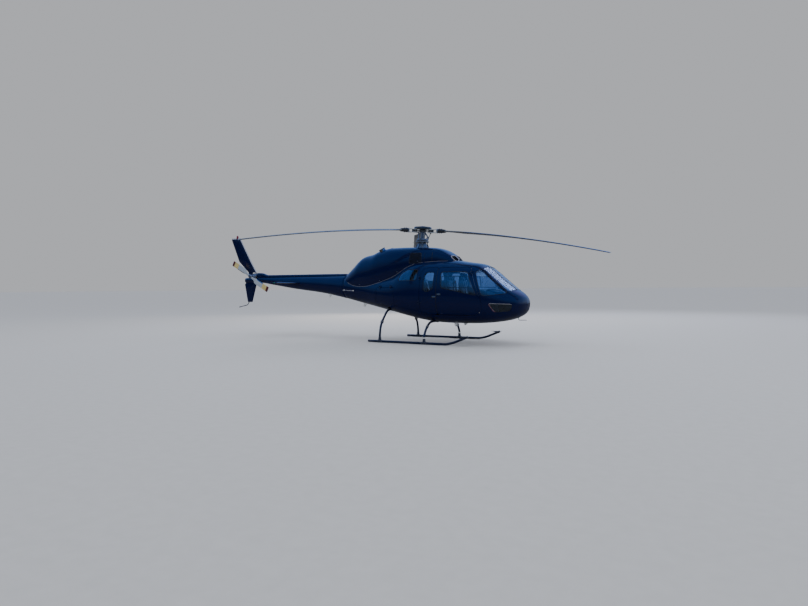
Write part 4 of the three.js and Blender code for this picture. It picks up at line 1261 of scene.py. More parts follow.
def makeBlades():
    shape, stations, size = bladeShape()
    for index, turn in enumerate(bladeTurns):
        chosen = []
        for face in shape[1]:
            low = min(min(face), len(stations) * size - 1)
            r, near = stations[low // size], max(min(i % size, size - i % size) for i in face)
            if r < bladeMarks["cuffEnd"]:
                chosen.append("cuff")
            elif r > bladeMarks["stripFrom"] and near <= bladeMarks["stripPoints"]:
                chosen.append("bladeSteel")
            elif r > bladeMarks["tipFrom"]:
                chosen.append(bladeMarks["tipBands"][index])
            else:
                chosen.append("blade")
        parts = [(shape, chosen)]
        for r in bladeMarks["tabs"]:
            parts.append((roundedBox(bladeMarks["tabSize"], (r, 0.258, bladeDroop(r) - 0.007), 0.0008, 1),
                          "blade"))
        for r in (0.548, 0.610):  # root pins with their heads
            for way, height in ((1, 0.056), (-1, -0.060)):
                parts.append((bolt((r, 0, bladeDroop(r) + height), (0, 0, way), 0.017, 0.010), "satinSteel"))
        makePiece(f"mainBlade_{index + 1}", placed(onArm(parts, turn), rotorMatrix), "main_rotor",
                  [f"blade_{index + 1}"], 40)


makeBlades()
print("rotor head and blades made")

# Mast housing over the main gearbox, with the three control jacks round it
housing = {"jackTurns": (60, 180, 300), "jackRing": 0.178, "block": (0.280, 0.250, 2.200, 2.500)}


def makeHousing():
    parts = [(turned([(-0.760, 0.176), (-0.757, 0.180), (-0.520, 0.180), (-0.512, 0.176), (-0.500, 0.172),
                      (-0.420, 0.140), (-0.345, 0.110), (-0.336, 0.108), (-0.336, 0.190), (-0.332, 0.195),
                      (-0.302, 0.195), (-0.298, 0.190), (-0.298, 0.110), (-0.292, 0.100), (-0.2925, 0.062)],
                     count=56), "alloy")]
    tilt = math.radians(15)
    parts += boltRing((0, 0, -0.511), (1, 0, 0), (0, 1, 0), 0.188, 12, 0.006, 0.008, tilt)
    for a in roundAngles(12, tilt):  # ribs up the cone
        low, high = ((r * math.cos(a), r * math.sin(a), z) for r, z in ((0.172, -0.505), (0.113, -0.350)))
        parts.append((rod(low, high, 0.0075, 8), "alloy"))
    for degrees in housing["jackTurns"]:
        a = math.radians(degrees)
        x, y = housing["jackRing"] * math.cos(a), housing["jackRing"] * math.sin(a)
        for low, high, radius, count, look in (
                (-0.560, -0.410, 0.026, 22, "alloy"), (-0.410, -0.318, 0.013, 16, "satinSteel"),
                (-0.428, -0.404, 0.0285, 22, "darkSteel"), (-0.545, -0.528, 0.0285, 22, "darkSteel")):
            parts.append((rod((x, y, low), (x, y, high), radius, count), look))
    # two cooler pipes and a wiring run beside the cone: radius, turn and height along each
    run = ((0.190, 0.0, -0.560), (0.190, 0.05, -0.480), (0.155, 0.12, -0.400), (0.150, 0.16, -0.345))
    for degrees, radius, look in ((20, 0.010, "rubber"), (140, 0.012, "rubber"), (265, 0.008, "darkSteel")):
        a = math.radians(degrees)
        line = smoothLine([(r * math.cos(a + s), r * math.sin(a + s), z) for r, s, z in run], 5)
        parts.append((tube(line, radius, 10), look))
    parts = placed(parts, rotorMatrix)
    long, wide, low, high = housing["block"]
    block = cutter(slab(rectangle(mastX - long, mastX + long, -wide, wide, 0.060), low, high, 0.012))
    parts.append((meshShape(carved(block, ("DIFFERENCE", cutter(bodyShape(-deck["overBody"])))).data),
                  "alloy"))
    makePiece("mastHousing", parts, "airframe", ["main_gearbox"], 32)


makeHousing()
clearSpare()
print("mast housing made")

# Tail rotor: two blades on one flexible spar, with its pitch links, on the tail gearbox
tail = {"hub": (-6.604, -0.260, 1.968), "turn": math.radians(27.5), "stripFrom": 0.30, "stripPoints": 3,
        "bands": [(0.640, "tailBlade"), (0.835, "yellowBand"), (1.0, "redBand")]}
tailMatrix = (Matrix.Translation(Vector(tail["hub"]) + Vector((mastX, 0, 0)))
              @ Matrix.Rotation(tail["turn"], 4, "Y"))
# Tail blade sections: radius, chord, thickness
tailTable = [(0.040, 0.062, 0.024), (0.100, 0.066, 0.022), (0.170, 0.072, 0.022), (0.215, 0.100, 0.022),
             (0.255, 0.150, 0.022), (0.300, 0.184, 0.022), (0.330, 0.185, 0.022), (0.640, 0.185, 0.020),
             (0.835, 0.185, 0.019), (0.918, 0.185, 0.017), (0.927, 0.180, 0.012), (0.930, 0.170, 0.006)]


def makeTailRotor():
    parts = []
    for end in (1, -1):
        rings, stations = [], []
        for a, b in zip(tailTable, tailTable[1:]):
            steps = max(1, math.ceil((b[0] - a[0]) / 0.05))
            for k in range(steps + (b is tailTable[-1])):
                r, chord, thick = (p + (q - p) * k / steps for p, q in zip(a, b))
                rings.append([(end * r, y, (x - chord * 0.02) * end) for x, y in aerofoil(chord, thick, 12)])
                stations.append(r)
        shape, size = lofted(rings), len(rings[0])
        chosen = []
        for face in shape[1]:
            r = stations[min(min(face), len(stations) * size - 1) // size]
            near = max(min(i % size, size - i % size) for i in face)
            band = next(look for limit, look in tail["bands"] if r < limit - 0.001)
            steel = near <= tail["stripPoints"] and r > tail["stripFrom"] and band == "tailBlade"
            chosen.append("bladeSteel" if steel else band)
        parts.append((shape, chosen))
        for r in (0.150, 0.205):
            for way in (-1, 1):
                parts.append((bolt((end * r, way * 0.011, -0.006 * end), (0, way, 0), 0.0075, 0.006),
                              "satinSteel"))
        # pitch horn at the blade's root and the link from the spider
        parts.append((roundedBox((0.040, 0.040, 0.016), (end * 0.165, 0.028, 0.034 * end), 0.004), "alloy"))
        parts.append((rod((end * 0.165, 0.045, 0.034 * end), (end * 0.075, 0.105, 0.020 * end), 0.006, 12),
                      "satinSteel"))
    parts.append((turned([(-0.045, 0.040), (-0.042, 0.052), (-0.030, 0.061), (0.010, 0.062), (0.030, 0.060),
                          (0.040, 0.050)], (0, 0, 0), (0, 1, 0), 40), "alloy"))
    parts.append((roundedBox((0.150, 0.050, 0.070), (0, -0.004, 0), 0.012), "alloy"))
    parts.append((rod((0, 0.030, 0), (0, 0.1297, 0), 0.019, 24), "satinSteel"))
    parts.append((turned([(0.092, 0.022), (0.094, 0.034), (0.116, 0.034), (0.118, 0.022)], (0, 0, 0),
                         (0, 1, 0), 28), "darkSteel"))
    parts.append((roundedBox((0.170, 0.016, 0.028), (0, 0.105, 0), 0.005, 2,
                             Matrix.Rotation(-0.26, 4, "Y")), "alloy"))
    parts += boltRing((0, -0.044, 0), (1, 0, 0), (0, 0, 1), 0.036, 6, 0.006, 0.006)
    parts.append((rod((0, -0.060, 0), (0, -0.040, 0), 0.020, 20), "satinSteel"))
    makePiece("tailRotor", placed(parts, tailMatrix), "tail_rotor", ["tail_rotor"], 40)


def makeTailGearbox():
    x, z = tail["hub"][0] + mastX, tail["hub"][2]
    out = (0, -1, 0)
    parts = [(turned([(-0.095, 0.080), (-0.092, 0.092), (-0.080, 0.100), (0.060, 0.100), (0.086, 0.094),
                      (0.104, 0.076), (0.112, 0.060), (0.118, 0.059), (0.172, 0.046), (0.180, 0.042),
                      (0.190, 0.040), (0.190, 0.023)], (x, 0, z), out, 48), "alloy")]
    for distance in (-0.070, -0.045, -0.020, 0.005, 0.030, 0.055):  # cooling fins
        parts.append((turned([(distance, 0.090), (distance + 0.001, 0.1035), (distance + 0.005, 0.1035),
                              (distance + 0.006, 0.090)], (x, 0, z), out, 48), "alloy"))
    parts += boltRing((x, -0.104, z), (1, 0, 0), (0, 0, 1), 0.068, 8, 0.005, 0.008)
    parts.append((rod((x + 0.02, 0, z + 0.09), (x + 0.02, 0, z + 0.125), 0.014, 20), "alloy"))
    parts.append((rod((x + 0.02, 0, z + 0.120), (x + 0.02, 0, z + 0.134), 0.020, 6, 0.1), "darkSteel"))
    sight = turned([(0, 0.016), (0.004, 0.016), (0.006, 0.012)], (x - 0.062, -0.080, z - 0.050),
                   (-0.6, -0.6, -0.3), 20)
    parts.append((sight, "redLens"))
    makePiece("tailGearbox", parts, "airframe", ["tail_gearbox"], 32)


makeTailRotor()
makeTailGearbox()
print("tail rotor made")


# Skid gear: two tubes with wear shoes, and two bowed cross tubes in clamps
gear = {"trackHalf": 1.110, "tube": 0.033, "height": 0.038, "aft": -1.150, "bend": 1.450,
        "toe": (1.985, 0.255), "crossTube": 0.032, "frontX": 0.680, "rearX": -0.755,
        "shoes": ((-1.100, -0.450), (0.350, 1.150)), "shoeThick": 0.0048, "shoeSpread": 0.62,
        "clampAt": 0.300}
collars = {"front": (0.470, 0.0385), "rear": (0.585, 0.0465)}  # height on the leg and radius
# Cross tubes: station, height, where the clamps meet the body, and the bow as distance from the middle
# and height
crossBows = {
    "front": (gear["frontX"], 0.610, 0.6597, [(0.600, 0.606), (0.780, 0.575), (0.966, 0.440)]),
    "rear": (gear["rearX"], 0.930, 0.9847,
             [(0.480, 0.928), (0.700, 0.880), (0.920, 0.660), (1.045, 0.480)]),
}
looks["gear"] = finish("gearPaint", (0.0045, 0.0080, 0.030), 0.30, coat=0.6, dust=0.16, wear=0.5,
                       wearColor=(0.30, 0.31, 0.33, 1), Specular_IOR_Level=0.3)
looks["clamp"] = finish("clampPaint", (0.012, 0.018, 0.040), 0.42, 0.2, dust=0.15, wear=0.5,
                        wearColor=(0.45, 0.46, 0.47, 1))
# white paint, also used as a painted glint at the skids' front saddles
looks["whitePaint"] = finish("whitePaint", (0.72, 0.73, 0.74), 0.35, coat=0.4, dust=0.08)
looks["shoe"] = finish("wearShoe", (0.22, 0.22, 0.22), 0.55, 0.85, dust=0.35, mottle=0.4, bump=0.5,
                       grain=90.0)


def skidLine():
    bend, toe = np.array([gear["bend"], gear["height"]]), np.array(gear["toe"])
    start, turn = bend - (0.18, 0), bend + (toe - bend) * 0.4
    line = [(x, gear["height"]) for x in np.linspace(gear["aft"], start[0], 12)[:-1]]
    line += [tuple(start * (1 - t) ** 2 + bend * 2 * t * (1 - t) + turn * t * t)
             for t in np.linspace(0, 1, 12)]
    line += [tuple(turn + (toe - turn) * t) for t in np.linspace(0, 1, 5)[1:]]
    return [(x + mastX, z) for x, z in line]


def halfShell(x0, x1, y, z, radius, thick, spread):
    # a plate bent round the underside of a tube that lies along x
    angles = np.linspace(-math.pi / 2 - spread, -math.pi / 2 + spread, 13)
    loop = [(y + math.cos(a) * (radius + thick), z + math.sin(a) * (radius + thick)) for a in angles]
    loop += [(y + math.cos(a) * radius, z + math.sin(a) * radius) for a in angles[::-1]]
    return lofted([[(x + mastX, p, q) for p, q in loop] for x in (x0, x1)])


def makeSkids():
    for name, side in sides.items():
        y, tubeRadius, z = side * gear["trackHalf"], gear["tube"], gear["height"]
        line = [Vector((x, y, h)) for x, h in skidLine()]
        tail, toe = line[0], line[-1] + (line[-1] - line[-2]).normalized() * 0.004
        line = [tail + Vector((0.001, 0, 0)), tail + Vector((0.006, 0, 0))] + line[1:] + [toe]
        radii = [tubeRadius * 0.9] + [tubeRadius] * (len(line) - 2) + [tubeRadius * 0.86]
        parts = [(tube(line, radii, 24), "gear")]
        for x0, x1 in gear["shoes"]:
            parts.append((halfShell(x0, x1, y, z, tubeRadius, gear["shoeThick"], gear["shoeSpread"]),
                          "shoe"))
            for x in np.arange(x0 + 0.06, x1, 0.17):
                for tilt in (-0.45, 0.45):
                    out = Vector((0, math.sin(tilt), -math.cos(tilt)))
                    place = Vector((x + mastX, y, z)) + out * (tubeRadius + 0.0030)
                    if tilt * side > 0 and place.z > 0.004:
                        parts.append((bolt(place, out, 0.0045, 0.0015), "satinSteel"))
        # toe step: a flat plate with two gussets
        toeX, toeZ = gear["toe"][0] + mastX, gear["toe"][1]
        outline = rounded([(toeX - 0.265, y - 0.020), (toeX - 0.265, y + 0.020), (toeX - 0.080, y + 0.062),
                           (toeX + 0.038, y + 0.062), (toeX + 0.038, y - 0.062), (toeX - 0.080, y - 0.062)],
                          0.016)
        parts.append((slab(outline, toeZ + 0.002, toeZ + 0.008, 0.0015), "clamp"))
        for across in (-0.012, 0.012):
            gusset = [(toeX - 0.235, toeZ + 0.003), (toeX + 0.010, toeZ + 0.003),
                      (toeX - 0.010, toeZ - 0.040), (toeX - 0.080, toeZ - 0.040)]
            parts.append((sidePrism(gusset, y + across - 0.0015, y + across + 0.0015), "clamp"))
        for x in (toeX - 0.200, toeX - 0.070, toeX + 0.010):
            parts.append((bolt((x, y, toeZ + 0.007), (0, 0, 1), 0.0055, 0.005), "satinSteel"))
        # saddles that clamp the legs to the tube
        for legX in (gear["frontX"], gear["rearX"]):
            x = legX + mastX
            rings, arc = [], np.linspace(-0.5, math.pi + 0.5, 22)
            for distance, grow in ((-0.085, 0.0005), (-0.080, 0.006), (-0.040, 0.009), (0.040, 0.009),
                                   (0.080, 0.006), (0.085, 0.0005)):
                rings.append([(x + distance, y + math.cos(a) * r, z + math.sin(a) * r)
                              for r, way in ((tubeRadius + grow, 1), (tubeRadius, -1)) for a in arc[::way]])
            parts.append((lofted(rings), "clamp"))
            parts.append((turned([(0.020, 0.047), (0.045, 0.045), (0.062, 0.040), (0.125, 0.0375),
                                  (0.130, 0.034)], (x, y, z), (0, 0, 1), 28), "clamp"))
            # the white ring is a painted glint at the front saddle
            if legX == gear["frontX"]:  # white ring above the front saddle
                parts.append((turned([(0.126, 0.034), (0.128, 0.0430), (0.158, 0.0430), (0.160, 0.034)],
                                     (x, y, z), (0, 0, 1), 28), "whitePaint"))
            for distance in (-0.066, 0.066):
                for turn in (-0.25, math.pi + 0.25):
                    out = Vector((0, math.cos(turn), math.sin(turn)))
                    place = Vector((x + distance, y, z)) + out * (tubeRadius + 0.005)
                    parts.append((bolt(place, out, 0.0065, 0.006), "satinSteel"))
        makePiece(f"skid_{name}_tube", parts, "airframe", [f"skid_{name}"], 32)


def makeCrossTubes():
    for name, (x, height, roof, bow) in crossBows.items():
        half = [(0, height), (0.3, height), *bow, (gear["trackHalf"] - 0.005, 0.230),
                (gear["trackHalf"], gear["height"] + 0.026)]
        across = [(-y, z) for y, z in half[:0:-1]] + half
        line = smoothLine([(x + mastX, y, z) for y, z in across], 9)
        parts = [(tube(line, gear["crossTube"], 24), "gear")]
        for side in sides.values():
            place = Vector((x + mastX, side * gear["clampAt"], height))
            block = roundedBox((0.080, 0.070, roof - height + 0.012),
                               place + Vector((0, 0, (roof - height - 0.012) / 2)), 0.010)
            parts.append((block, "clamp"))
            for half, edge, radius, look in ((0.030, 0.034, 0.040, "rubber"),
                                             (0.024, 0.036, 0.0435, "clamp")):
                band = [(-half, edge), (0.002 - half, radius), (half - 0.002, radius), (half, edge)]
                parts.append((turned(band, place, (0, 1, 0), 28), look))
            for distance in (-0.033, 0.033):
                foot = place + Vector((distance, 0.028 * side, -0.002))
                parts.append((bolt(foot, (0, 0, -1), 0.007, 0.012), "satinSteel"))
            # collar part way down each leg
            level, radius = collars[name]
            k = min((i for i in range(len(line)) if line[i].y * side > 0.7),
                    key=lambda i: abs(line[i].z - level))
            along = (line[k + 1] - line[k - 1]).normalized()
            band = [(-0.032, 0.033), (-0.028, radius), (0.028, radius), (0.032, 0.033)]
            lug = line[k] + Vector((0.040, 0, 0))
            parts.append((turned(band, line[k], along, 28), "clamp"))
            parts.append((roundedBox((0.016, 0.014, 0.030), lug, 0.003), "clamp"))
            parts.append((bolt(lug + Vector((0, side * 0.007, 0)), (0, side, 0), 0.005, 0.005),
                          "satinSteel"))
        makePiece(f"{name}CrossTube", parts, "airframe", [f"{name}_cross_tube"], 32)


makeSkids()
makeCrossTubes()
print("skid gear made")

# Exhaust stubs with patches of heat tint; the engines keep their solids with a finish
heatTints = [(0.30, (0.20, 0.26, 0.42)), (0.45, (0.42, 0.46, 0.55)), (0.58, (0.46, 0.40, 0.30)),
             (0.75, (0.26, 0.20, 0.16))]


def makeHeatLook():
    material = finish("heatTintedSteel", (0.40, 0.38, 0.36), 0.26, 1.0, dust=0.05, mottle=0.3, bump=0.15)
    tree = material.node_tree
    noise = add(tree, "ShaderNodeTexNoise", {"Vector": objectPoint(tree)}, Scale=9.0, Detail=4.0)
    tint = makeRamp(tree, heatTints, noise.outputs["Fac"])
    tree.links.new(tint, tree.nodes["Principled BSDF"].inputs["Base Color"])
    return material


looks["heat"] = makeHeatLook()
looks["soot"] = finish("soot", (0.010, 0.009, 0.009), 0.9, dust=0.0, bump=0.3)


def makeExhausts():
    radius, size = exhaust["radius"], 40
    for name, side in sides.items():
        start, end = alongExhaust(side, 0), alongExhaust(side, 1)
        length = (end - start).length
        across, up, along = basisFrom(end - start)
        outerWall = [(0, 0.088), (0.004, radius), (length * 0.62, radius), (length * 0.64, radius + 0.0035),
                     (length * 0.67, radius + 0.0035), (length * 0.69, radius), (length - 0.012, radius),
                     (length - 0.008, radius + 0.004), (length - 0.003, radius + 0.004),
                     (length, radius + 0.001), (length, radius - 0.006), (length - 0.006, radius - 0.008)]
        innerWall = [(length - 0.006, radius - 0.008), (length * 0.28, radius - 0.010),
                     (length * 0.26, radius - 0.030), (length * 0.25, 0.0)]
        walls = outerWall + innerWall[1:]
        shape, points = turned(walls, start, end - start, size), len(walls) * size
        chosen = ["soot" if points > min(face) >= (len(outerWall) - 1) * size or max(face) == points + 1
                  else "heat" for face in shape[1]]
        riser = rod((start.x, start.y, exhaust["engineTop"]), start + along * 0.012, 0.088, 32, 0.02)
        parts = [(shape, chosen), (riser, "heat")]
        for out in circle(Vector(), across, up, 1, 6):
            parts.append((bolt(start + along * length * 0.655 + out * (radius + 0.003), out, 0.005, 0.004),
                          "darkSteel"))
        makePiece(f"exhaustStub_{name}", parts, "airframe", [f"exhaust_{name}"], 32)


def dressNode(name, look):
    node = frame["nodes"][name]
    if not node.material_slots:
        node.data.materials.append(looks[look])
    for slot in node.material_slots:
        slot.material = looks[look]


makeExhausts()
for name in sides:
    dressNode(f"engine_{name}", "alloy")
print("exhausts made")


# Cabin interior: bulkhead, floor mat, seats with padded cushions, belts, panel and controls
looks["fabric"] = finish("seatFabric", (0.22, 0.23, 0.26), 0.92, mottle=0.12, bump=0.0, dust=0.05,
                         Sheen_Weight=0.4)
looks["leather"] = finish("seatLeather", (0.40, 0.41, 0.44), 0.48, mottle=0.12, bump=0.35, grain=420.0,
                          dust=0.04)
looks["piping"] = finish("seatPiping", (0.19, 0.18, 0.17), 0.55, bump=0.2, grain=500.0, dust=0.03)
looks["webbing"] = finish("beltWebbing", (0.020, 0.022, 0.030), 0.85, dust=0.05)
looks["carpet"] = finish("carpet", (0.028, 0.030, 0.036), 0.96, mottle=0.3, bump=0.9, grain=900.0, dust=0.12)
looks["moulding"] = finish("darkMoulding", (0.022, 0.023, 0.026), 0.62, bump=0.25, grain=500.0, dust=0.06)
looks["paleTrim"] = finish("paleTrim", (0.30, 0.30, 0.31), 0.70, bump=0.2, grain=400.0, dust=0.04)
looks["panelGrey"] = finish("panelGrey", (0.060, 0.064, 0.070), 0.55, bump=0.2, grain=600.0, dust=0.03)
looks["dialFace"] = finish("dialFace", (0.006, 0.006, 0.007), 0.35, coat=0.8, dust=0.01)
looks["paleMark"] = finish("paleMark", (0.75, 0.75, 0.72), 0.5, dust=0.0)
looks["screen"] = finish("darkScreen", (0.008, 0.011, 0.016), 0.12, coat=1.0, dust=0.01)


def addWeave(look, threads, strength):
    # threads of the cloth as a fine bump
    tree = looks[look].node_tree
    weave = placeGroup(tree, "weave", Threads=threads)
    relief = add(tree, "ShaderNodeBump", {"Height": weave.outputs["Height"]}, Strength=strength,
                 Distance=0.001)
    tree.links.new(relief.outputs[0], tree.nodes["Principled BSDF"].inputs["Normal"])


addWeave("fabric", 900.0, 0.5)
addWeave("webbing", 1400.0, 0.4)

padding = {"voxel": 0.009, "frames": 20, "cap": 0.026,
           "cloth": {"quality": 4, "mass": 0.3, "tension_stiffness": 14, "compression_stiffness": 14,
                     "shear_stiffness": 8, "bending_stiffness": 2, "use_pressure": True,
                     "uniform_pressure_force": 4.0}}


def remeshed(shape, voxel):
    mesh = meshFrom("pad", shape)
    work = bpy.data.objects.new("pad", mesh)
    scene.collection.objects.link(work)
    modifier = work.modifiers.new("voxels", "REMESH")
    modifier.mode, modifier.voxel_size = "VOXEL", voxel
    result = finalMesh(work)
    bpy.data.meshes.remove(mesh)
    return result


def inflated(shape, channels=()):
    # a pad that swells under its own filling; channels are sewn lines: axis across, place, depth, width
    mesh = remeshed(shape, padding["voxel"])
    start = np.array([v.co for v in mesh.vertices])
    work = bpy.data.objects.new("pad", mesh)
    scene.collection.objects.link(work)
    cloth = work.modifiers.new("filling", "CLOTH")
    for key, value in padding["cloth"].items():
        setattr(cloth.settings, key, value)
    cloth.settings.effector_weights.gravity = 0
    cloth.point_cache.frame_start, cloth.point_cache.frame_end = 1, padding["frames"]
    for number in range(1, padding["frames"] + 1):
        scene.frame_set(number)
    done = work.evaluated_get(bpy.context.evaluated_depsgraph_get())
    points = np.array([v.co for v in done.data.vertices])
    scene.frame_set(1)
    move = points - start
    far = np.linalg.norm(move, axis=1)[:, None]
    points = start + move * np.minimum(1, padding["cap"] / np.maximum(far, 1e-6))
    bpy.data.objects.remove(work)
    middle = points.mean(0)
    for axis, place, depth, width in channels:
        pull = depth * np.exp(-((points[:, axis] - place) / width) ** 2)
        way = points[:, 2] - middle[2]
        points[:, 2] -= np.sign(way) * pull * np.minimum(1, abs(way) / 0.03)
    faces = [tuple(p.vertices) for p in mesh.polygons]
    bpy.data.meshes.remove(mesh)
    return points, faces


def cushionBlock(width, depth, thick, corner, nose=0.0):
    # depth along x, width along y; nose rounds the front edge downwards
    outline, rings, reach = rectangle(-depth / 2, depth / 2, -width / 2, width / 2, corner), [], 0.12
    for level, inset in ((-thick / 2, 0.018), (-thick / 2 + 0.012, 0.004), (0, 0),
                         (thick / 2 - 0.014, 0.005), (thick / 2, 0.024)):
        drop = nose if level > 0 else 0.0
        rings.append([(x, y, level - drop * max(0.0, (x - depth / 2 + reach) / reach) ** 2)
                      for x, y in shrunk(outline, inset)])
    return lofted(rings)


frontSeat = {"x": 1.180, "apart": 0.370, "floor": 0.8003, "lean": math.radians(7.2)}
bench = {"seats": (-0.483, -0.161, 0.161, 0.483), "lean": math.radians(11.0)}

print("filling cushions")
seatPad = inflated(cushionBlock(0.420, 0.415, 0.088, 0.070, 0.018),
                   ((1, 0.0, 0.0, 0.01), (0, -0.060, 0.010, 0.010), (0, 0.070, 0.010, 0.010)))
backPad = inflated(cushionBlock(0.400, 0.600, 0.072, 0.080),
                   ((0, -0.150, 0.010, 0.010), (0, 0.0, 0.010, 0.010), (0, 0.150, 0.010, 0.010)))
benchPad = inflated(cushionBlock(0.268, 0.380, 0.088, 0.050, 0.014), ((0, 0.000, 0.009, 0.010),))
benchBack = inflated(cushionBlock(0.262, 0.520, 0.070, 0.055),
                     ((0, -0.110, 0.009, 0.010), (0, 0.090, 0.009, 0.010)))
headPad = inflated(cushionBlock(0.220, 0.120, 0.060, 0.045))


def placePad(name, shape, matrix):
    shape = movedShape(shape, matrix)
    makePiece(name, [(shape, "leather")], "airframe")
    return makeGuide(shape)


def backMatrix(x, y, z, lean):
    # a pad stood on its end: its length runs up the back, its top faces forward
    up = Vector((-math.sin(lean), 0, math.cos(lean)))
    out = Vector((math.cos(lean), 0, math.sin(lean)))
    return axesAt((x, y, z), up, Vector((0, -1, 0)), out)


def smoothed(rows, count=2):
    rows = [Vector(r) for r in rows]
    for _ in range(count):
        rows = [rows[0]] + [(a + b * 2 + c) / 4 for a, b, c in zip(rows, rows[1:], rows[2:])] + [rows[-1]]
    return rows


webbing = {"half": 0.023, "halfThick": 0.001, "lift": 0.0026}


def belt(guides, start, direction, steps, cast):
    # webbing laid over pads along a line, found by rays
    places, normals, cast = [], [], Vector(cast)
    for t in np.linspace(0, 1, steps):
        origin, best = Vector(start) + Vector(direction) * t - cast * 0.5, None
        for guide in guides:
            place, normal, index, distance = guide["tree"].ray_cast(origin, cast)
            if index is not None and (best is None or distance < best[2]):
                best = (place, smoothNormal(guide, place, index), distance)
        if best:
            places.append(best[0])
            normals.append(best[1] if best[1].dot(cast) < 0 else -best[1])
    half, thick = webbing["half"], webbing["halfThick"]
    return onSkin(list(zip(smoothed(places), smoothed(normals))), bead(half, -thick, half, thick), False,
                  -webbing["lift"])


def makeFrontSeats():
    floor = frontSeat["floor"]
    for name, side in sides.items():
        x, y = frontSeat["x"] + mastX, side * frontSeat["apart"]
        panPlace = Matrix.Translation((x + 0.270, y, floor + 0.325))
        panGuide = placePad(f"frontSeatCushion_{name}", seatPad, panPlace)
        lean = frontSeat["lean"]
        backGuide = placePad(f"frontSeatBack_{name}", backPad, backMatrix(x + 0.020, y, floor + 0.690, lean))
        headGuide = placePad(f"frontSeatHead_{name}", headPad, backMatrix(x - 0.030, y, floor + 1.015, lean))
        # base box with recessed sides, on two rails
        base = rectangle(x + 0.010, x + 0.320, y - 0.195, y + 0.195, 0.030)
        parts = [(slab(base, floor + 0.018, floor + 0.236, 0.006), "moulding")]
        for rail in (-0.150, 0.150):
            parts.append((roundedBox((0.330, 0.030, 0.018), (x + 0.165, y + rail, floor + 0.009), 0.003),
                          "alloy"))
        for way in (-1, 1):
            plate = rectangle(x + 0.040, x + 0.290, floor + 0.050, floor + 0.205, 0.020)
            parts.append((sidePrism(plate, y + way * 0.192, y + way * 0.198), "panelGrey"))
        # tray under the cushion and shell behind the back
        tray = rounded([(x - 0.010, y - 0.232), (x + 0.490, y - 0.225), (x + 0.490, y + 0.225),
                        (x - 0.010, y + 0.232)], 0.060)
        parts.append((slab(tray, floor + 0.232, floor + 0.282, 0.012), "moulding"))
        rings = []
        for t in np.linspace(0, 1, 15):
            z = floor + 0.250 + 0.825 * t
            middle = x - 0.052 - 0.028 * t
            half = 0.236 * (1 - 0.30 * max(0, (t - 0.62) / 0.38) ** 2)
            across = np.linspace(-1, 1, 17)
            rings.append([(middle + 0.034 * abs(s) ** 4, y + half * s, z) for s in across]
                         + [(middle - 0.014 + 0.030 * abs(s) ** 4, y + (half + 0.004) * s, z)
                            for s in across[::-1]])
        parts.append((lofted(rings), "moulding"))
        for way in (-1, 1):  # side brackets from tray to shell
            bracket = rounded([(x - 0.070, floor + 0.240), (x + 0.120, floor + 0.240),
                               (x + 0.060, floor + 0.330), (x - 0.045, floor + 0.470),
                               (x - 0.070, floor + 0.470)], 0.020)
            parts.append((sidePrism(bracket, y + way * 0.233, y + way * 0.238), "panelGrey"))
            parts.append((bolt((x - 0.010, y + way * 0.238, floor + 0.300), (0, way, 0), 0.008, 0.005),
                          "satinSteel"))
        # four belts meeting in a round buckle
        for way in (-1, 1):
            shoulder = belt([backGuide, headGuide], (x + 0.5, y + way * 0.062, floor + 1.000),
                            (0, way * 0.035, -0.560), 26, (-1, 0, 0))
            lap = belt([panGuide], (x + 0.140, y + way * 0.030, floor + 0.9), (0, way * 0.180, 0), 14,
                       (0, 0, -1))
            parts += [(shoulder, "webbing"), (lap, "webbing")]
        parts.append((turned([(0, 0.030), (0.006, 0.034), (0.016, 0.033), (0.022, 0.026)],
                             (x + 0.140, y, floor + 0.388), (0, 0, 1), 28), "satinSteel"))
        makePiece(f"frontSeatFrame_{name}", parts, "airframe", [f"front_seat_{name}"], 32)


def makeBench():
    floor, x = frontSeat["floor"], mastX
    guides = []
    for k, y in enumerate(bench["seats"]):
        pan = placePad(f"benchCushion_{k + 1}", benchPad, Matrix.Translation((x + 0.222, y, floor + 0.325)))
        back = placePad(f"benchBack_{k + 1}", benchBack,
                        backMatrix(x - 0.090, y, floor + 0.700, bench["lean"]))
        guides.append((pan, back, y))
    parts = []
    base = rectangle(x - 0.135, x + 0.295, -0.415, 0.415, 0.030)
    parts.append((slab(base, floor, floor + 0.212, 0.006), "moulding"))
    tray = rectangle(x - 0.135, x + 0.415, -0.635, 0.635, 0.050)
    parts.append((slab(tray, floor + 0.205, floor + 0.275, 0.014), "moulding"))
    shell = [(x - 0.135, 0.245), (x - 0.110, 0.245), (x - 0.070, 0.420), (x - 0.163, 0.992),
             (x - 0.205, 0.992), (x - 0.180, 0.420)]
    shell = rounded([(px, floor + pz) for px, pz in shell], 0.014)
    parts.append((sidePrism(shell, -0.636, 0.636), "panelGrey"))
    for y in (-0.322, 0.0, 0.322):  # dividers between the places
        parts.append((tube(smoothLine([(x + 0.400, y, floor + 0.330), (x + 0.200, y, floor + 0.352),
                                       (x + 0.020, y, floor + 0.362)], 6), 0.006, 8), "piping"))
    for pan, back, y in guides:
        for way in (-1, 1):
            shoulder = belt([back], (x + 0.5, y + way * 0.070, floor + 0.930), (0, way * 0.010, -0.480), 22,
                            (-1, 0, 0))
            lap = belt([pan], (x + 0.090, y + way * 0.020, floor + 0.9), (0, way * 0.112, 0), 10, (0, 0, -1))
            parts += [(shoulder, "webbing"), (lap, "webbing")]
        parts.append((roundedBox((0.060, 0.046, 0.016), (x + 0.090, y, floor + 0.384), 0.005), "satinSteel"))
    makePiece("benchFrame", parts, "airframe", ["rear_bench"], 32)


makeFrontSeats()
makeBench()
print("seats made")


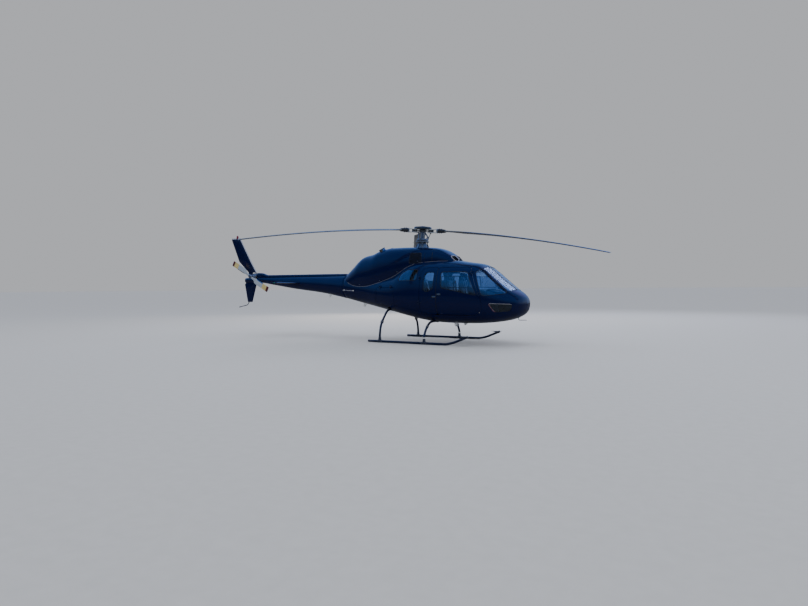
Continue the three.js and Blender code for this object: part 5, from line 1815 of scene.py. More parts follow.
def makeBulkhead():
    x0, x1 = shell["bulkhead"], shell["bulkhead"] + 0.030
    cover = carved(cutter(bodyShape(shell["skin"] + seam)),
                   ("INTERSECT", sliceCutter(x0, x1, shell["floorTop"] + seam, 2.6)))
    parts = [(meshShape(cover.data), "lining")]
    for side in sides.values():  # two padded panels with stitched borders
        panel = rounded([(side * 0.020, 1.000), (side * 0.600, 1.000), (side * 0.560, 1.720),
                         (side * 0.300, 2.020), (side * 0.020, 2.060)], 0.070)
        rings = [[(x1 + mastX + d, y, z) for y, z in shrunk(panel, inset)]
                 for d, inset in ((-0.004, 0), (0.006, 0), (0.012, 0.010), (0.014, 0.030))]
        parts.append((lofted(rings), "fabric"))
        border = [(x1 + mastX + 0.013, y, z) for y, z in shrunk(panel, 0.024)]
        parts.append((tube(border, 0.0022, 6, True), "piping"))
    makePiece("cabinBulkhead", parts, "airframe", ["cabin_bulkhead"], 32)


def makeFloorMat():
    # reaches to a little short of the cabin's sides, with openings round the seats and the pedestal
    level, rim = shell["floorTop"], []
    for x in np.arange(-0.300, 2.720, 0.08):
        place, normal = castOn(innerGuide, (x + mastX, 0, level + 0.006), (0, 1, 0))
        rim.append((x + mastX, place.y - 0.030))
    whole = cutter(slab(rim + [(x, -y) for x, y in rim[::-1]], level + seam, level + seam + 0.006))
    rows = [(1.170, 1.520, side * frontSeat["apart"] - 0.205, side * frontSeat["apart"] + 0.205)
            for side in (-1, 1)]
    rows += [(-0.150, 0.310, -0.425, 0.425), (2.015, 2.345, -0.136, 0.136)]
    mat = carved(whole, *cut([boxCutter(*row, 0.7, 1.0) for row in rows]))
    makePiece("floorMat", [(meshShape(mat.data), "carpet")], "airframe")


makeBulkhead()
makeFloorMat()
clearSpare()

# Instrument panel and centre pedestal
panelSeat = {"centre": (2.2095, 0.0, 1.3600), "lean": math.atan2(0.040, 0.275), "half": 0.330,
             "pedestalHalf": 0.130}


def panelMatrix():
    lean, (x, y, z) = panelSeat["lean"], panelSeat["centre"]
    across, up = Vector((0, -1, 0)), Vector((-math.sin(lean), 0, math.cos(lean)))
    return axesAt((x + mastX, y, z), across, up, across.cross(up))


def gauge(across, up, radius, hand):
    # a round dial in the panel's own plane, facing along z
    centre = (across, up, 0)
    parts = []
    for rows, count, look in (
            (((-0.004, 0.9), (0.004, 1.14), (0.008, 1.10), (0.009, 1.0), (0.0035, 0.96)), 32, "moulding"),
            (((-0.002, 0.95), (0.0042, 0.95), (0.0043, 0.5)), 32, "dialFace"),
            (((0.004, 0.10), (0.0075, 0.10), (0.008, 0.05)), 16, "moulding")):
        parts.append((turned([(level, radius * share) for level, share in rows], centre, count=count), look))
    for k in range(11):
        a = math.radians(-135 + k * 27)
        size = (0.0016, radius * (0.20 if k % 2 == 0 else 0.12), 0.0008)
        turn = Matrix.Rotation(-a, 4, "Z")
        middle = Vector((math.sin(a), math.cos(a), 0)) * radius * 0.80 + Vector((across, up, 0.0046))
        parts.append((roundedBox(size, middle, 0.0002, 1, turn), "paleMark"))
    a = math.radians(hand)
    middle = Vector((math.sin(a), math.cos(a), 0)) * radius * 0.30 + Vector((across, up, 0.0056))
    pointer = roundedBox((0.0022, radius * 0.78, 0.0008), middle, 0.0003, 1, Matrix.Rotation(-a, 4, "Z"))
    return parts + [(pointer, "paleMark")]


def screenPart(across, up, width, height):
    parts = [(roundedBox((width, height, 0.012), (across, up, 0.004), 0.004), "moulding"),
             (roundedBox((width - 0.022, height - 0.022, 0.003), (across, up, 0.0105), 0.001, 1), "screen")]
    for k in np.linspace(-0.4, 0.4, 5):
        place = (across + k * width, up - height / 2 + 0.006, 0.011)
        parts.append((roundedBox((0.012, 0.006, 0.003), place, 0.001, 1), "paleTrim"))
    return parts


def knob(across, up, radius, height):
    return turned([(0, radius * 1.1), (0.002, radius * 1.1), (0.003, radius), (height, radius * 0.9),
                   (height + 0.001, radius * 0.6)], (across, up, 0.001), count=18)


# Gauges: place across and up the panel, radius, turn of the hand in degrees
gauges = [(-0.030, 0.080, 0.034, -60), (0.050, 0.080, 0.034, 20), (-0.030, 0.000, 0.034, 70),
          (0.050, 0.000, 0.034, -110), (-0.285, 0.075, 0.026, -30), (0.285, 0.075, 0.026, 45),
          (-0.285, 0.012, 0.026, 100), (0.285, 0.012, 0.026, -70)]


def makePanel():
    half = panelSeat["half"]
    head = rounded([(2.232, 1.226), (2.425, 1.226), (2.495, 1.415), (2.252, 1.508), (2.196, 1.490)], 0.010)
    pedestal = rounded([(2.030, 0.801), (2.330, 0.801), (2.330, 1.180), (2.440, 1.200), (2.440, 1.300),
                        (2.245, 1.300), (2.232, 1.232), (2.160, 1.180), (2.030, 1.130)], 0.014)
    parts, edge = [], 0.010
    for outline, reach in ((head, half), (pedestal, panelSeat["pedestalHalf"])):
        rings = [[(x, y, z) for x, z in shrunk(shifted(outline), inset)]
                 for y, inset in ((-reach, edge), (edge - reach, 0), (reach - edge, 0), (reach, edge))]
        parts.append((lofted(rings), "panelGrey"))
    # glare shield: a padded hood over the panel
    hood = [(2.178, 1.484), (2.180, 1.500), (2.215, 1.514), (2.300, 1.500), (2.400, 1.462), (2.500, 1.418),
            (2.498, 1.408), (2.400, 1.448), (2.300, 1.484), (2.218, 1.498)]
    rings = [[(x + mastX, s * (half + 0.004), z - 0.030 * abs(s) ** 6) for x, z in hood]
             for s in np.linspace(-1, 1, 25)]
    parts.append((lofted(rings), "moulding"))
    face = screenPart(-0.190, 0.030, 0.150, 0.150) + screenPart(0.190, 0.030, 0.150, 0.150)
    for row in gauges:
        face += gauge(*row)
    for k in range(9):
        face.append((knob(-0.270 + k * 0.0675, -0.095, 0.006, 0.010), "moulding"))
    for k in range(8):  # warning lamps under the hood
        look = "redLens" if k in (2, 5) else "whiteLens"
        face.append((roundedBox((0.020, 0.009, 0.004), (-0.080 + k * 0.024, 0.128, 0.002), 0.001, 1), look))
    for k in range(5):  # switches
        place = Vector((-0.150 + k * 0.075, -0.070, 0.004))
        face.append((rod(place, place + Vector((0, 0.004, 0.014)), 0.0022, 8), "satinSteel"))
    parts += placed(face, panelMatrix())
    # radio stack on the pedestal's slope
    start, end = Vector((2.160 + mastX, 0, 1.180)), Vector((2.030 + mastX, 0, 1.130))
    across = Vector((0, -1, 0))
    out = (end - start).normalized().cross(across)
    radios = []
    for row in (-0.040, 0.000, 0.040):
        radios.append((roundedBox((0.215, 0.034, 0.010), (0, row, 0.004), 0.003), "moulding"))
        radios.append((roundedBox((0.090, 0.016, 0.002), (0, row, 0.0095), 0.0006, 1), "screen"))
        for place in (-0.085, -0.062, 0.062, 0.085):
            radios.append((knob(place, row, 0.0065, 0.014), "moulding"))
    parts += placed(radios, axesAt((start + end) / 2, across, out.cross(across), out))
    for side in sides.values():  # breaker rows on the pedestal's cheeks
        for row in range(3):
            for k in range(6):
                place = (2.080 + k * 0.036 + mastX, side * panelSeat["pedestalHalf"], 0.930 + row * 0.045)
                parts.append((turned([(0, 0.0062), (0.004, 0.0062), (0.005, 0.004), (0.010, 0.004)], place,
                                     (0, side, 0), 12), "moulding"))
    # compass on the centre post
    place = Vector((2.620 + mastX, 0, 1.585))
    parts.append((turned([(-0.030, 0.010), (-0.026, 0.024), (0.020, 0.026), (0.028, 0.018)], place,
                         (1, 0, 0), 24), "moulding"))
    parts.append((rod(place + Vector((-0.004, 0, 0.022)), place + Vector((0.030, 0, 0.060)), 0.006, 10),
                  "moulding"))
    makePiece("instrumentPanel", parts, "airframe", ["instrument_panel"], 32)


def makeControls():
    floor = shell["floorTop"] + 0.006
    x = mastX
    for name, side in sides.items():
        y = side * frontSeat["apart"]
        stick = smoothLine([(x + 1.905, y, floor), (x + 1.900, y, floor + 0.160),
                            (x + 1.830, y, floor + 0.300), (x + 1.770, y, floor + 0.430),
                            (x + 1.760, y, floor + 0.520)], 6)
        parts = [(tube(stick, 0.011, 14), "moulding"),
                 (turned([(0, 0.050), (0.012, 0.046), (0.040, 0.028), (0.080, 0.014)],
                         (x + 1.905, y, floor), (0, 0, 1), 24), "rubber")]
        top = stick[-1]
        parts.append((turned([(0, 0.013), (0.012, 0.018), (0.050, 0.0165), (0.095, 0.019), (0.118, 0.017),
                              (0.124, 0.010)], top - Vector((0, 0, 0.090)), (-0.06, 0, 1), 20), "moulding"))
        parts.append((rod(top + Vector((-0.004, 0, 0.020)), top + Vector((-0.012, 0, 0.034)), 0.007, 12),
                      "redLens"))
        # collective lever on the seat's left
        rows = ((1.130, 0.085), (1.300, 0.150), (1.480, 0.245))
        lever = [Vector((x + along, y + 0.262, floor + up)) for along, up in rows]
        parts.append((tube(smoothLine(lever, 5), 0.011, 12), "moulding"))
        parts.append((rod(lever[1], lever[2], 0.0165, 16, 0.2), "rubber"))
        parts.append((roundedBox((0.052, 0.034, 0.040), lever[2] + Vector((0.016, 0, 0.012)), 0.008),
                      "moulding"))
        parts.append((roundedBox((0.080, 0.034, 0.090), lever[0] - Vector((0, 0, 0.040)), 0.010),
                      "moulding"))
        # pedals on a shaft between two brackets
        shaft, tilt = Vector((x + 2.230, y, floor + 0.020)), Matrix.Rotation(-0.45, 4, "Y")
        for way in (-1, 1):
            foot = shaft + Vector((0, way * 0.095, 0))
            parts.append((rod(foot, foot + Vector((-0.060, 0, 0.130)), 0.008, 12), "satinSteel"))
            tread = roundedBox((0.016, 0.085, 0.110), foot + Vector((-0.068, 0, 0.155)), 0.006, 2, tilt)
            parts.append((tread, "darkSteel"))
            for k in (-1, 0, 1):
                ridge = foot + Vector((-0.0770 - k * 0.0125, 0, 0.159 + k * 0.026))
                parts.append((roundedBox((0.004, 0.070, 0.008), ridge, 0.001, 1, tilt), "rubber"))
            bracket = roundedBox((0.044, 0.016, 0.040), shaft + Vector((0, way * 0.118, 0)), 0.004)
            parts.append((bracket, "panelGrey"))
        half = Vector((0, 0.115, 0))
        parts.append((rod(shaft - half, shaft + half, 0.010, 12), "darkSteel"))
        makePiece(f"flightControls_{name}", parts, "airframe", (), 32)


makePanel()
makeControls()
print("interior made")


# Fittings on the outside: hinges, handles, window frames, seams, grilles, lights and aerials
# a light grey bead whose colour is a painted highlight along the cowl seam
looks["paleSeamHighlight"] = finish("paleSeamHighlight", (0.16, 0.17, 0.21), 0.50, dust=0.10)
looks["mesh"] = finish("darkMesh", (0.020, 0.022, 0.026), 0.50, 0.6, dust=0.10, wear=0.3)
# a pink line that is a painted highlight on the chin panes' aft edges
looks["fadedRed"] = finish("fadedRed", (0.42, 0.19, 0.23), 0.45, coat=0.3, dust=0.08)
looks["chrome"] = finish("polishedRim", (0.60, 0.61, 0.62), 0.12, 1.0, dust=0.03)

# Hinges: axis as x, distance from the middle, z; places along it; where the arms reach
hinges = {
    "front": {"from": (2.204, 0.915, 1.310), "to": (1.875, 0.795, 2.085), "places": (0.08, 0.82),
              "ahead": (0.062, 0.018)},
    "rear": {"from": (0.430, 0.968, 1.050), "to": (0.430, 0.902, 1.950), "places": (0.10, 0.85),
             "ahead": (-0.052, 0.0)},
    "baggage": {"from": (-0.470, 0.868, 1.574), "to": (-1.160, 0.672, 1.574), "places": (0.15, 0.80),
                "ahead": (0.0, 0.050)},
    "barrel": 0.011, "edge": 0.0015, "leafHalf": 0.020, "frameHalf": 0.012, "apart": 0.0322, "arm": 0.0070,
    "foot": 0.016,
}


def skinPlace(x, z, side, guide=outerGuide, tilt=0.0):
    # axes on the skin: forward, upward, outward; mirrored on the other side
    place, normal = fromSide(x, z, side, guide)
    ahead = Vector((math.cos(tilt), 0, math.sin(tilt)))
    ahead = (ahead - normal * normal.dot(ahead)).normalized()
    up = normal.cross(ahead)
    return axesAt(place, ahead, up if up.z > 0 else -up, normal)


def makeHinges():
    barrel, edge = hinges["barrel"], hinges["edge"]
    for name, side in sides.items():
        frame = []
        for kind in doors:
            hinge = hinges[kind]
            start, end = (Vector((x + mastX, y * side, z)) for x, y, z in (hinge["from"], hinge["to"]))
            along, leaf = (end - start).normalized(), []
            for share in hinge["places"]:
                middle = start.lerp(end, share)
                for shift, way, parts in ((0, -1, leaf), (-hinges["apart"], 1, frame),
                                          (hinges["apart"], 1, frame)):
                    centre = middle + along * shift
                    half = hinges["frameHalf"] if shift else hinges["leafHalf"]
                    profile = [(-half, barrel - edge), (edge - half, barrel), (half - edge, barrel),
                               (half, barrel - edge)]
                    parts.append((turned(profile, centre, along, 20), "edge"))
                    x, z = centre.x - mastX + hinge["ahead"][0] * way, centre.z + hinge["ahead"][1] * way
                    foot, normal = fromSide(x, z, side)
                    parts.append((rod(centre, foot - normal * 0.008, hinges["arm"], 14), "edge"))
                    disc = [(-0.002, hinges["foot"]), (0.0015, hinges["foot"]),
                            (0.003, hinges["foot"] - 0.002)]
                    parts.append((turned(disc, foot, normal, 24), "edge"))
                for way in (-1, 1):
                    place = middle + along * way * 0.044
                    rows = [(0, 0.006), (0.003, 0.006), (0.004, 0.004)]
                    frame.append((turned(rows, place, along * way, 14), "satinSteel"))
            makePiece(f"{kind}DoorHinges_{name}", leaf, f"{kind}_door_{name}")
        makePiece(f"hingeFrames_{name}", frame, "airframe")


handles = {"front": (1.035, 1.370), "rear": (0.880, 1.300)}
latches = {"places": [(-0.620, 1.040), (-1.020, 1.100)], "tilt": 0.10}  # on the baggage doors


def handleParts():
    # a recessed plate with a pull lever and a key lock
    return [
        (roundedBox((0.128, 0.052, 0.003), (0, 0, 0.0008), 0.0012, 1), "darkSteel"),
        (roundedBox((0.092, 0.024, 0.007), (0.010, 0, 0.0090), 0.003), "satinSteel"),
        (turned([(0, 0.013), (0.010, 0.013), (0.013, 0.010)], (0.048, 0, 0.001)), "satinSteel"),
        (turned([(0, 0.008), (0.0045, 0.008), (0.005, 0.006)], (-0.050, 0, 0.001), count=20), "chrome"),
        (roundedBox((0.0012, 0.008, 0.0016), (-0.050, 0, 0.0062), 0.0004, 1), "mesh"),
    ]


def latchParts():
    return [
        (turned([(-0.002, 0.021), (0.0012, 0.021), (0.002, 0.019)], count=28), "edge"),
        (roundedBox((0.030, 0.007, 0.003), (0, 0, 0.0032), 0.001, 1), "satinSteel"),
    ]


slider = {"frame": [(1.105, 1.560), (1.985, 1.545), (1.865, 1.855), (1.105, 1.865)], "post": 1.480,
          "sink": 0.0075, "profile": bead(0.010, -0.0060, 0.009, 0.0030)}
slitSeal = {"line": [(0.9485, 0.860), (0.9485, 2.055)],
            "profile": [(-0.0060, -0.012), (0.0060, -0.012), (0.0060, -0.003), (0.0050, -0.002),
                        (-0.0050, -0.002), (-0.0060, -0.003)]}


def makeDoorFittings():
    for name, side in sides.items():
        for kind in doors:
            # rubber seal round the inner rim
            seal = shrunk(doors[kind]["shape"], shell["plugInset"] + 0.010)
            line = [place - normal * 0.002 for place, normal in skinLine(seal, side, innerGuide, 0.04)]
            parts = [(tube(line, 0.0060, 8, True), "rubber")]
            if kind in handles:
                parts += placed(handleParts(), skinPlace(*handles[kind], side))
            else:
                for x, z in latches["places"]:
                    parts += placed(latchParts(), skinPlace(x, z, side, tilt=latches["tilt"]))
            if kind == "front":  # sliding pane in a dark frame, with a finger pull
                x = slider["post"]
                ring = skinLine(rounded(slider["frame"], 0.030), side)
                post = skinLine([(x, 1.565), (x, 1.850)], side, closed=False)
                for line, closed in ((ring, True), (post, False)):
                    parts.append((onSkin(line, slider["profile"], closed, slider["sink"]), "moulding"))
                pull = [(roundedBox((0.020, 0.060, 0.008), (0, 0, -0.0005), 0.003), "moulding")]
                parts += placed(pull, skinPlace(x + 0.045, 1.700, side))
            if kind == "rear":  # rubber strip that fills most of the slit between the doors
                line = skinLine(slitSeal["line"], side, closed=False)
                parts.append((onSkin(line, slitSeal["profile"], False), "rubber"))
            makePiece(f"{kind}DoorFittings_{name}", parts, f"{kind}_door_{name}", crease=30)


makeHinges()
makeDoorFittings()
print("door fittings made")


def cowlSeam(side):
    # where the cowls' skin leaves the body's, as pairs of a place and a normal
    def spread(x, z):
        reach = []
        for guide in (cowlGuide, outerGuide):
            start, way = Vector((x + mastX, side * 3, z)), Vector((0, -side, 0))
            place, normal, index, distance = guide["tree"].ray_cast(start, way)
            reach.append(abs(place.y) if index is not None else 0.0)
        return reach[0] - reach[1]
    line, heights = [], np.arange(2.45, 1.40, -0.03)
    for x in np.arange(-2.42, 1.06, 0.045):
        values = [spread(x, z) for z in heights]
        for high, low, a, b in zip(heights, heights[1:], values, values[1:]):
            if a > 0 >= b:
                for _ in range(12):
                    middle = (high + low) / 2
                    high, low = (middle, low) if spread(x, middle) > 0 else (high, middle)
                line.append(fromSide(x, low, side))
                break
    return line


cowlSeamAt = {side: cowlSeam(side) for side in sides.values()}
cowlFit = {"frontSeam": 0.590, "louvre": [(-0.120, 2.235), (0.285, 2.235), (0.262, 2.545), (-0.095, 2.545)],
           "slats": 9, "aftVent": [(-0.285, 2.040), (0.285, 2.040), (0.240, 2.330), (-0.240, 2.330)],
           "wire": 0.0022}


def skinPatch(corners, cast, low, high, count=(18, 14)):
    # a thin plate that follows the skin between four corners
    a, b, c, d = (np.array(corner) for corner in corners)
    top, bottom = [], []
    for v in np.linspace(0, 1, count[1]):
        for u in np.linspace(0, 1, count[0]):
            p = (a * (1 - u) + b * u) * (1 - v) + (d * (1 - u) + c * u) * v
            place, normal = cast(*p)
            top.append(place + normal * high)
            bottom.append(place + normal * low)
    wide, tall = count
    size, faces = len(top), []
    for j in range(tall - 1):
        for i in range(wide - 1):
            k = j * wide + i
            faces.append((k, k + 1, k + 1 + wide, k + wide))
            faces.append((k + size, k + wide + size, k + 1 + wide + size, k + 1 + size))
    rim = list(range(wide)) + [j * wide + wide - 1 for j in range(1, tall)]
    rim += [(tall - 1) * wide + i for i in range(wide - 2, -1, -1)]
    rim += [j * wide for j in range(tall - 2, 0, -1)]
    for p, q in zip(rim, rim[1:] + rim[:1]):
        faces.append((q, p, p + size, q + size))
    return closedShape(top + bottom, faces)


def overSkin(rows, cast, profile, closed=True, step=0.02):
    return onSkin([cast(*p) for p in divided(rows, step, closed)], profile, closed)


def makeCowlFittings():
    thin, wide = bead(0.004, -0.001, 0.003, 0.0022), bead(0.010, -0.001, 0.009, 0.0018)
    lip = bead(0.009, -0.003, 0.007, 0.006)
    blade = [(-0.004, -0.001), (0.006, -0.001), (0.011, 0.010), (0.008, 0.0115)]

    def fromAft(y, z):
        return castOn(cowlGuide, (mastX - 5, y, z), (1, 0, 0))

    def fromFore(y, z):
        return castOn(cowlGuide, (mastX + 3, y, z), (-1, 0, 0))

    aft, fore = [], []
    for side in sides.values():
        def fromFlank(x, z, side=side):
            return fromSide(x, z, side, cowlGuide)

        a, b, c, d = (np.array(p) for p in cowlFit["louvre"])
        aft.append((skinPatch(cowlFit["louvre"], fromFlank, -0.002, 0.0012), "mesh"))
        for k in range(cowlFit["slats"]):
            v = (k + 0.6) / cowlFit["slats"]
            p, q = a * (1 - v) + d * v, b * (1 - v) + c * v
            row = [tuple(p + (q - p) * 0.03), tuple(p + (q - p) * 0.97)]
            aft.append((overSkin(row, fromFlank, blade, False, 0.03), "edge"))
        aft.append((overSkin(rounded(cowlFit["louvre"], 0.030), fromFlank, lip), "edge"))
        # light grey bead along the cowl's seam with the body: a painted highlight where the seam catches light
        for parts, way in ((aft, -1), (fore, 1)):
            line = [p + n * 0.001 for p, n in cowlSeamAt[side] if (p.x - mastX - deck["seamX"]) * way > 0.01]
            parts.append((tube(line, 0.0055, 8), "paleSeamHighlight"))
        catch = [(roundedBox((0.060, 0.024, 0.004), (0, 0, 0.0015), 0.0015, 1), "edge"),
                 (roundedBox((0.040, 0.010, 0.004), (0.004, 0, 0.005), 0.0015, 1), "satinSteel")]
        for x in (-1.900, -1.100, -0.500, 0.150):
            place, normal = min(cowlSeamAt[side], key=lambda pair: abs(pair[0].x - mastX - x))
            aft += placed(catch, skinPlace(x, place.z + 0.055, side, cowlGuide))
        # intake lip and its wire mesh
        mouth = [(y * side, z) for y, z in deck["mouth"]]
        fore.append((overSkin(rounded(mouth, deck["mouthRound"]), fromFore, lip), "paleEdge"))
        wire = cowlFit["wire"]
        for y in np.linspace(0.055, 0.255, 8):
            foot, top = (fromFore(y * side, z)[0] - Vector((0.020, 0, 0)) for z in (2.302, 2.430))
            fore.append((rod(foot, top, wire, 6), "mesh"))
        for z in (2.325, 2.350, 2.375, 2.400, 2.425):
            line = [fromFore(y * side, z)[0] for y in np.linspace(0.040, 0.270, 8)]
            fore.append((tube([place - Vector((0.021, 0, 0)) for place in line], wire, 6), "mesh"))
    # vent on the aft slope; its pale frame is a painted highlight along the panel's edges
    aft.append((skinPatch(cowlFit["aftVent"], fromAft, -0.002, 0.0012), "edge"))
    aft.append((overSkin(rounded(cowlFit["aftVent"], 0.040), fromAft, lip), "paleEdge"))
    for v in np.linspace(0.14, 0.86, 7):
        z, half = 2.040 + 0.290 * v, 0.285 - 0.045 * v - 0.030
        aft.append((overSkin([(-half, z), (half, z)], fromAft, blade, False, 0.03), "edge"))
    # seam between the cowls, and a wider one ahead of it with a rubber strip
    for parts, x, profile, look in ((aft, deck["seamX"] - 0.006, thin, "edge"),
                                    (fore, deck["seamX"] + 0.006, thin, "edge"),
                                    (fore, cowlFit["frontSeam"], wide, "rubber")):
        for side in sides.values():
            line = skinLine([(x, z) for z in np.arange(2.22, 2.56, 0.02)], side, cowlGuide, closed=False)
            parts.append((onSkin(line, profile, False), look))
    makePiece("engineCowlFittings", aft, "airframe", crease=30)
    makePiece("gearboxCowlFittings", fore, "airframe", crease=30)


makeCowlFittings()
print("cowl fittings made")


def rivetHead(place, normal, radius=0.0040):
    return turned([(-0.0006, radius), (0.0009, radius * 0.85), (0.0017, radius * 0.35)], place, normal, 7)


def boomMiddle(x):
    rows = sorted((row[0], (row[1] + row[2]) / 2) for row in boomTable)
    return float(np.interp(x, *zip(*rows)))


def makeRivets():
    parts = []
    for x in (-2.790, -2.860, -3.480, -4.100, -4.330, -5.060, -5.700, -6.220):  # rings round the boom
        for degrees in range(-58, 239, 8):
            a = math.radians(degrees)
            out = Vector((0, math.cos(a), math.sin(a)))
            middle = Vector((x + mastX, 0, boomMiddle(x)))
            place, normal = castOn(boomGuide, middle + out, -out)
            parts.append((rivetHead(place, normal), "hull"))
    for side in sides.values():
        for x in np.arange(-6.30, -2.90, 0.045):  # lap seam low on the boom's side
            place, normal = castOn(boomGuide, (x + mastX, side, boomMiddle(x) - 0.045), (0, -side, 0))
            parts.append((rivetHead(place, normal, 0.0034), "hull"))
        for x, low, high in ((-0.385, 0.95, 1.90), (-1.420, 1.12, 1.56), (-2.600, 1.26, 1.62)):
            for z in np.arange(low, high, 0.045):
                place, normal = fromSide(x, z, side)
                parts.append((rivetHead(place, normal), "hull"))
        for x in np.arange(-2.60, -0.42, 0.050):
            place, normal = fromSide(x, 0.985 - 0.135 * (x + 0.42), side)
            parts.append((rivetHead(place, normal), "hull"))
    makePiece("rivets", parts, "airframe", crease=60)


def fromBelow(x, y=0.0, guide=outerGuide):
    return castOn(guide, (x + mastX, y, -1), (0, 0, 1))


def bladeAerial(x, reach, sweep, chord, guide=outerGuide):
    # a thin swept fin under the belly
    place, normal = fromBelow(x, guide=guide)
    rings = []
    for t, scale in ((-0.08, 1.0), (0, 1.0), (0.5, 0.80), (0.93, 0.58), (1.0, 0.40)):
        centre = place - Vector((sweep * max(t, 0), 0, reach * t))
        rings.append([centre + Vector((a, b, 0)) for a, b in aerofoil(chord * scale, 0.016 * scale, 8)])
    outline = rectangle(place.x - chord * 0.8, place.x + chord * 0.5, -0.022, 0.022, 0.018)
    base = slab(outline, place.z - 0.004, place.z + 0.006, 0.001)
    return [(lofted(rings), "whitePaint"), (base, "whitePaint")]


landingLamp = {"whitePaint": [(-0.030, 0.050), (0.020, 0.060), (0.046, 0.060), (0.050, 0.055)],
               "chrome": [(0.046, 0.056), (0.054, 0.056), (0.056, 0.048)],
               "whiteLens": [(0.048, 0.049), (0.055, 0.047), (0.061, 0.032), (0.063, 0.010)]}


def makeBellyFittings():
    parts = bladeAerial(-3.310, 0.095, 0.055, 0.115, boomGuide) + bladeAerial(-1.960, 0.110, 0.060, 0.130)
    for side in sides.values():
        # landing lamp in its round housing
        seat = fromBelow(1.265, side * 0.300)[0] - Vector((0, 0, 0.022))
        for look, profile in landingLamp.items():
            parts.append((turned(profile, seat, (0.60, 0, -0.80), 32), look))
        # slim rail on two posts beside the boom's root
        line = []
        for x, z in ((-2.560, 1.490), (-2.160, 1.470)):
            foot, out = fromSide(x, z, side)
            line.append(foot + out * 0.034)
            parts.append((rod(foot - out * 0.004, foot + out * 0.036, 0.0085, 12), "whitePaint"))
            parts.append((turned([(0, 0.017), (0.003, 0.016), (0.004, 0.012)], foot, out, 20), "whitePaint"))
        over = Vector((0.03, 0, 0))
        parts.append((rod(line[0] - over, line[1] + over, 0.0045, 10), "paleEdge"))
    # pitot tube under the nose
    foot = fromBelow(2.960)[0]
    line = [foot + Vector((ahead, 0, up)) for ahead, up in
            ((0, 0.010), (0.004, -0.030), (0.035, -0.062), (0.095, -0.064), (0.185, -0.062))]
    parts.append((tube(smoothLine(line, 6), 0.0085, 14), "chrome"))
    parts.append((rod(line[-1], line[-1] + Vector((0.055, 0, 0)), 0.0088, 14, 0.1, 0.0062), "chrome"))
    base = rectangle(foot.x - 0.030, foot.x + 0.034, -0.020, 0.020, 0.014)
    parts.append((slab(base, foot.z - 0.005, foot.z + 0.006, 0.001), "edge"))
    # drains under the body
    for x, y in ((-0.520, 0.120), (-0.980, -0.140), (0.300, 0.200)):
        place, normal = fromBelow(x, y)
        parts.append((rod(place + normal * -0.010, place + normal * 0.040, 0.0065, 12), "satinSteel"))
    makePiece("bellyFittings", parts, "airframe", crease=30)


def makeLights():
    parts = []
    lead, height = boom["lead"] + mastX, boom["height"]
    for name, side in sides.items():
        lens = "greenLens" if name == "right" else "redLens"
        tip = Vector((lead - 0.150, side * boom["stabiliserSpan"] / 2, height))
        parts.append((roundedBox((0.125, 0.008, 0.026), tip + Vector((0, side * 0.002, 0)), 0.003), "edge"))
        profile = [(0, 0.0125), (0.014, 0.0120), (0.026, 0.0090), (0.031, 0.0030)]
        place = Matrix.Translation(tip + Vector((0.020, side * 0.004, 0))) @ Matrix.Diagonal((2.2, 1, 1, 1))
        parts.append((movedShape(turned(profile, direction=(0, side, 0), count=20), place), lens))
    makePiece("navigationLights", parts, "airframe")
    # drive shaft cover straps with their catches
    straps = []
    for x in (-3.05, -3.62, -4.20, -4.78, -5.36, -5.94):
        line = []
        for degrees in range(18, 163, 6):
            a = math.radians(degrees)
            out = Vector((0, math.cos(a), math.sin(a)))
            line.append(castOn(coverGuide, Vector((x + mastX, 0, 1.90)) + out * 0.6, -out))
        straps.append((onSkin(line, bead(0.011, -0.001, 0.010, 0.0020), False), "edge"))
        for side in sides.values():
            place, normal = castOn(coverGuide, (x + mastX, side, 1.945), (0, -side, 0))
            straps.append((bolt(place, normal, 0.006, 0.005), "satinSteel"))
    makePiece("coverStraps", straps, "airframe")


def makeWindscreenTrim():
    # cover strip with its screws on the centre post, pale as a painted highlight along the post
    line = [castOn(outerGuide, (x + mastX, 0, 4), (0, 0, -1)) for x in np.arange(2.935, 2.110, -0.03)]
    profile = [(-0.023, -0.001), (0.023, -0.001), (0.021, 0.0030), (0.012, 0.0044), (-0.012, 0.0044),
               (-0.021, 0.0030)]
    parts = [(onSkin(line, profile, False), "paleEdge")]
    for place, normal in line[1:-1:2]:
        for way in (-1, 1):
            spot = place + Vector((0, way * 0.015, 0)) + normal * 0.0036
            parts.append((turned([(0, 0.0034), (0.0010, 0.0034), (0.0016, 0.0020)], spot, normal, 10),
                          "satinSteel"))
    # thin lines over two edges of the chin panes, pale on the upper edge and pink on the aft one: painted
    # highlights where the pane edges catch light
    thin, rim = bead(0.0035, 0.0030, 0.0030, 0.0052), windowShapes["chin"]
    for side in sides.values():
        for edge, look in ((rim[20:28], "paleEdge"), (rim[27:] + rim[:5], "fadedRed")):
            parts.append((onSkin(skinLine(edge, side, closed=False), thin, False), look))
    # fuel filler on the left
    cap = [(turned([(-0.002, 0.054), (0.0016, 0.054), (0.0024, 0.051)], count=36), "edge"),
           (turned([(0, 0.043), (0.0050, 0.042), (0.0060, 0.038)], count=36), "satinSteel"),
           (roundedBox((0.064, 0.012, 0.006), (0, 0, 0.0080), 0.002), "satinSteel")]
    parts += placed(cap, skinPlace(-0.180, 1.330, 1))
    makePiece("windscreenTrim", parts, "airframe", crease=30)


makeRivets()
makeBellyFittings()
makeLights()
makeWindscreenTrim()
print("fittings made")


# Camera as in the photograph, soft studio light and a pale floor
camera = {"place": (8.7881 + mastX, -15.7683, 1.6013), "heading": 30.7942, "down": 1.5817, "roll": -0.36289,
          "lens": 27.438}


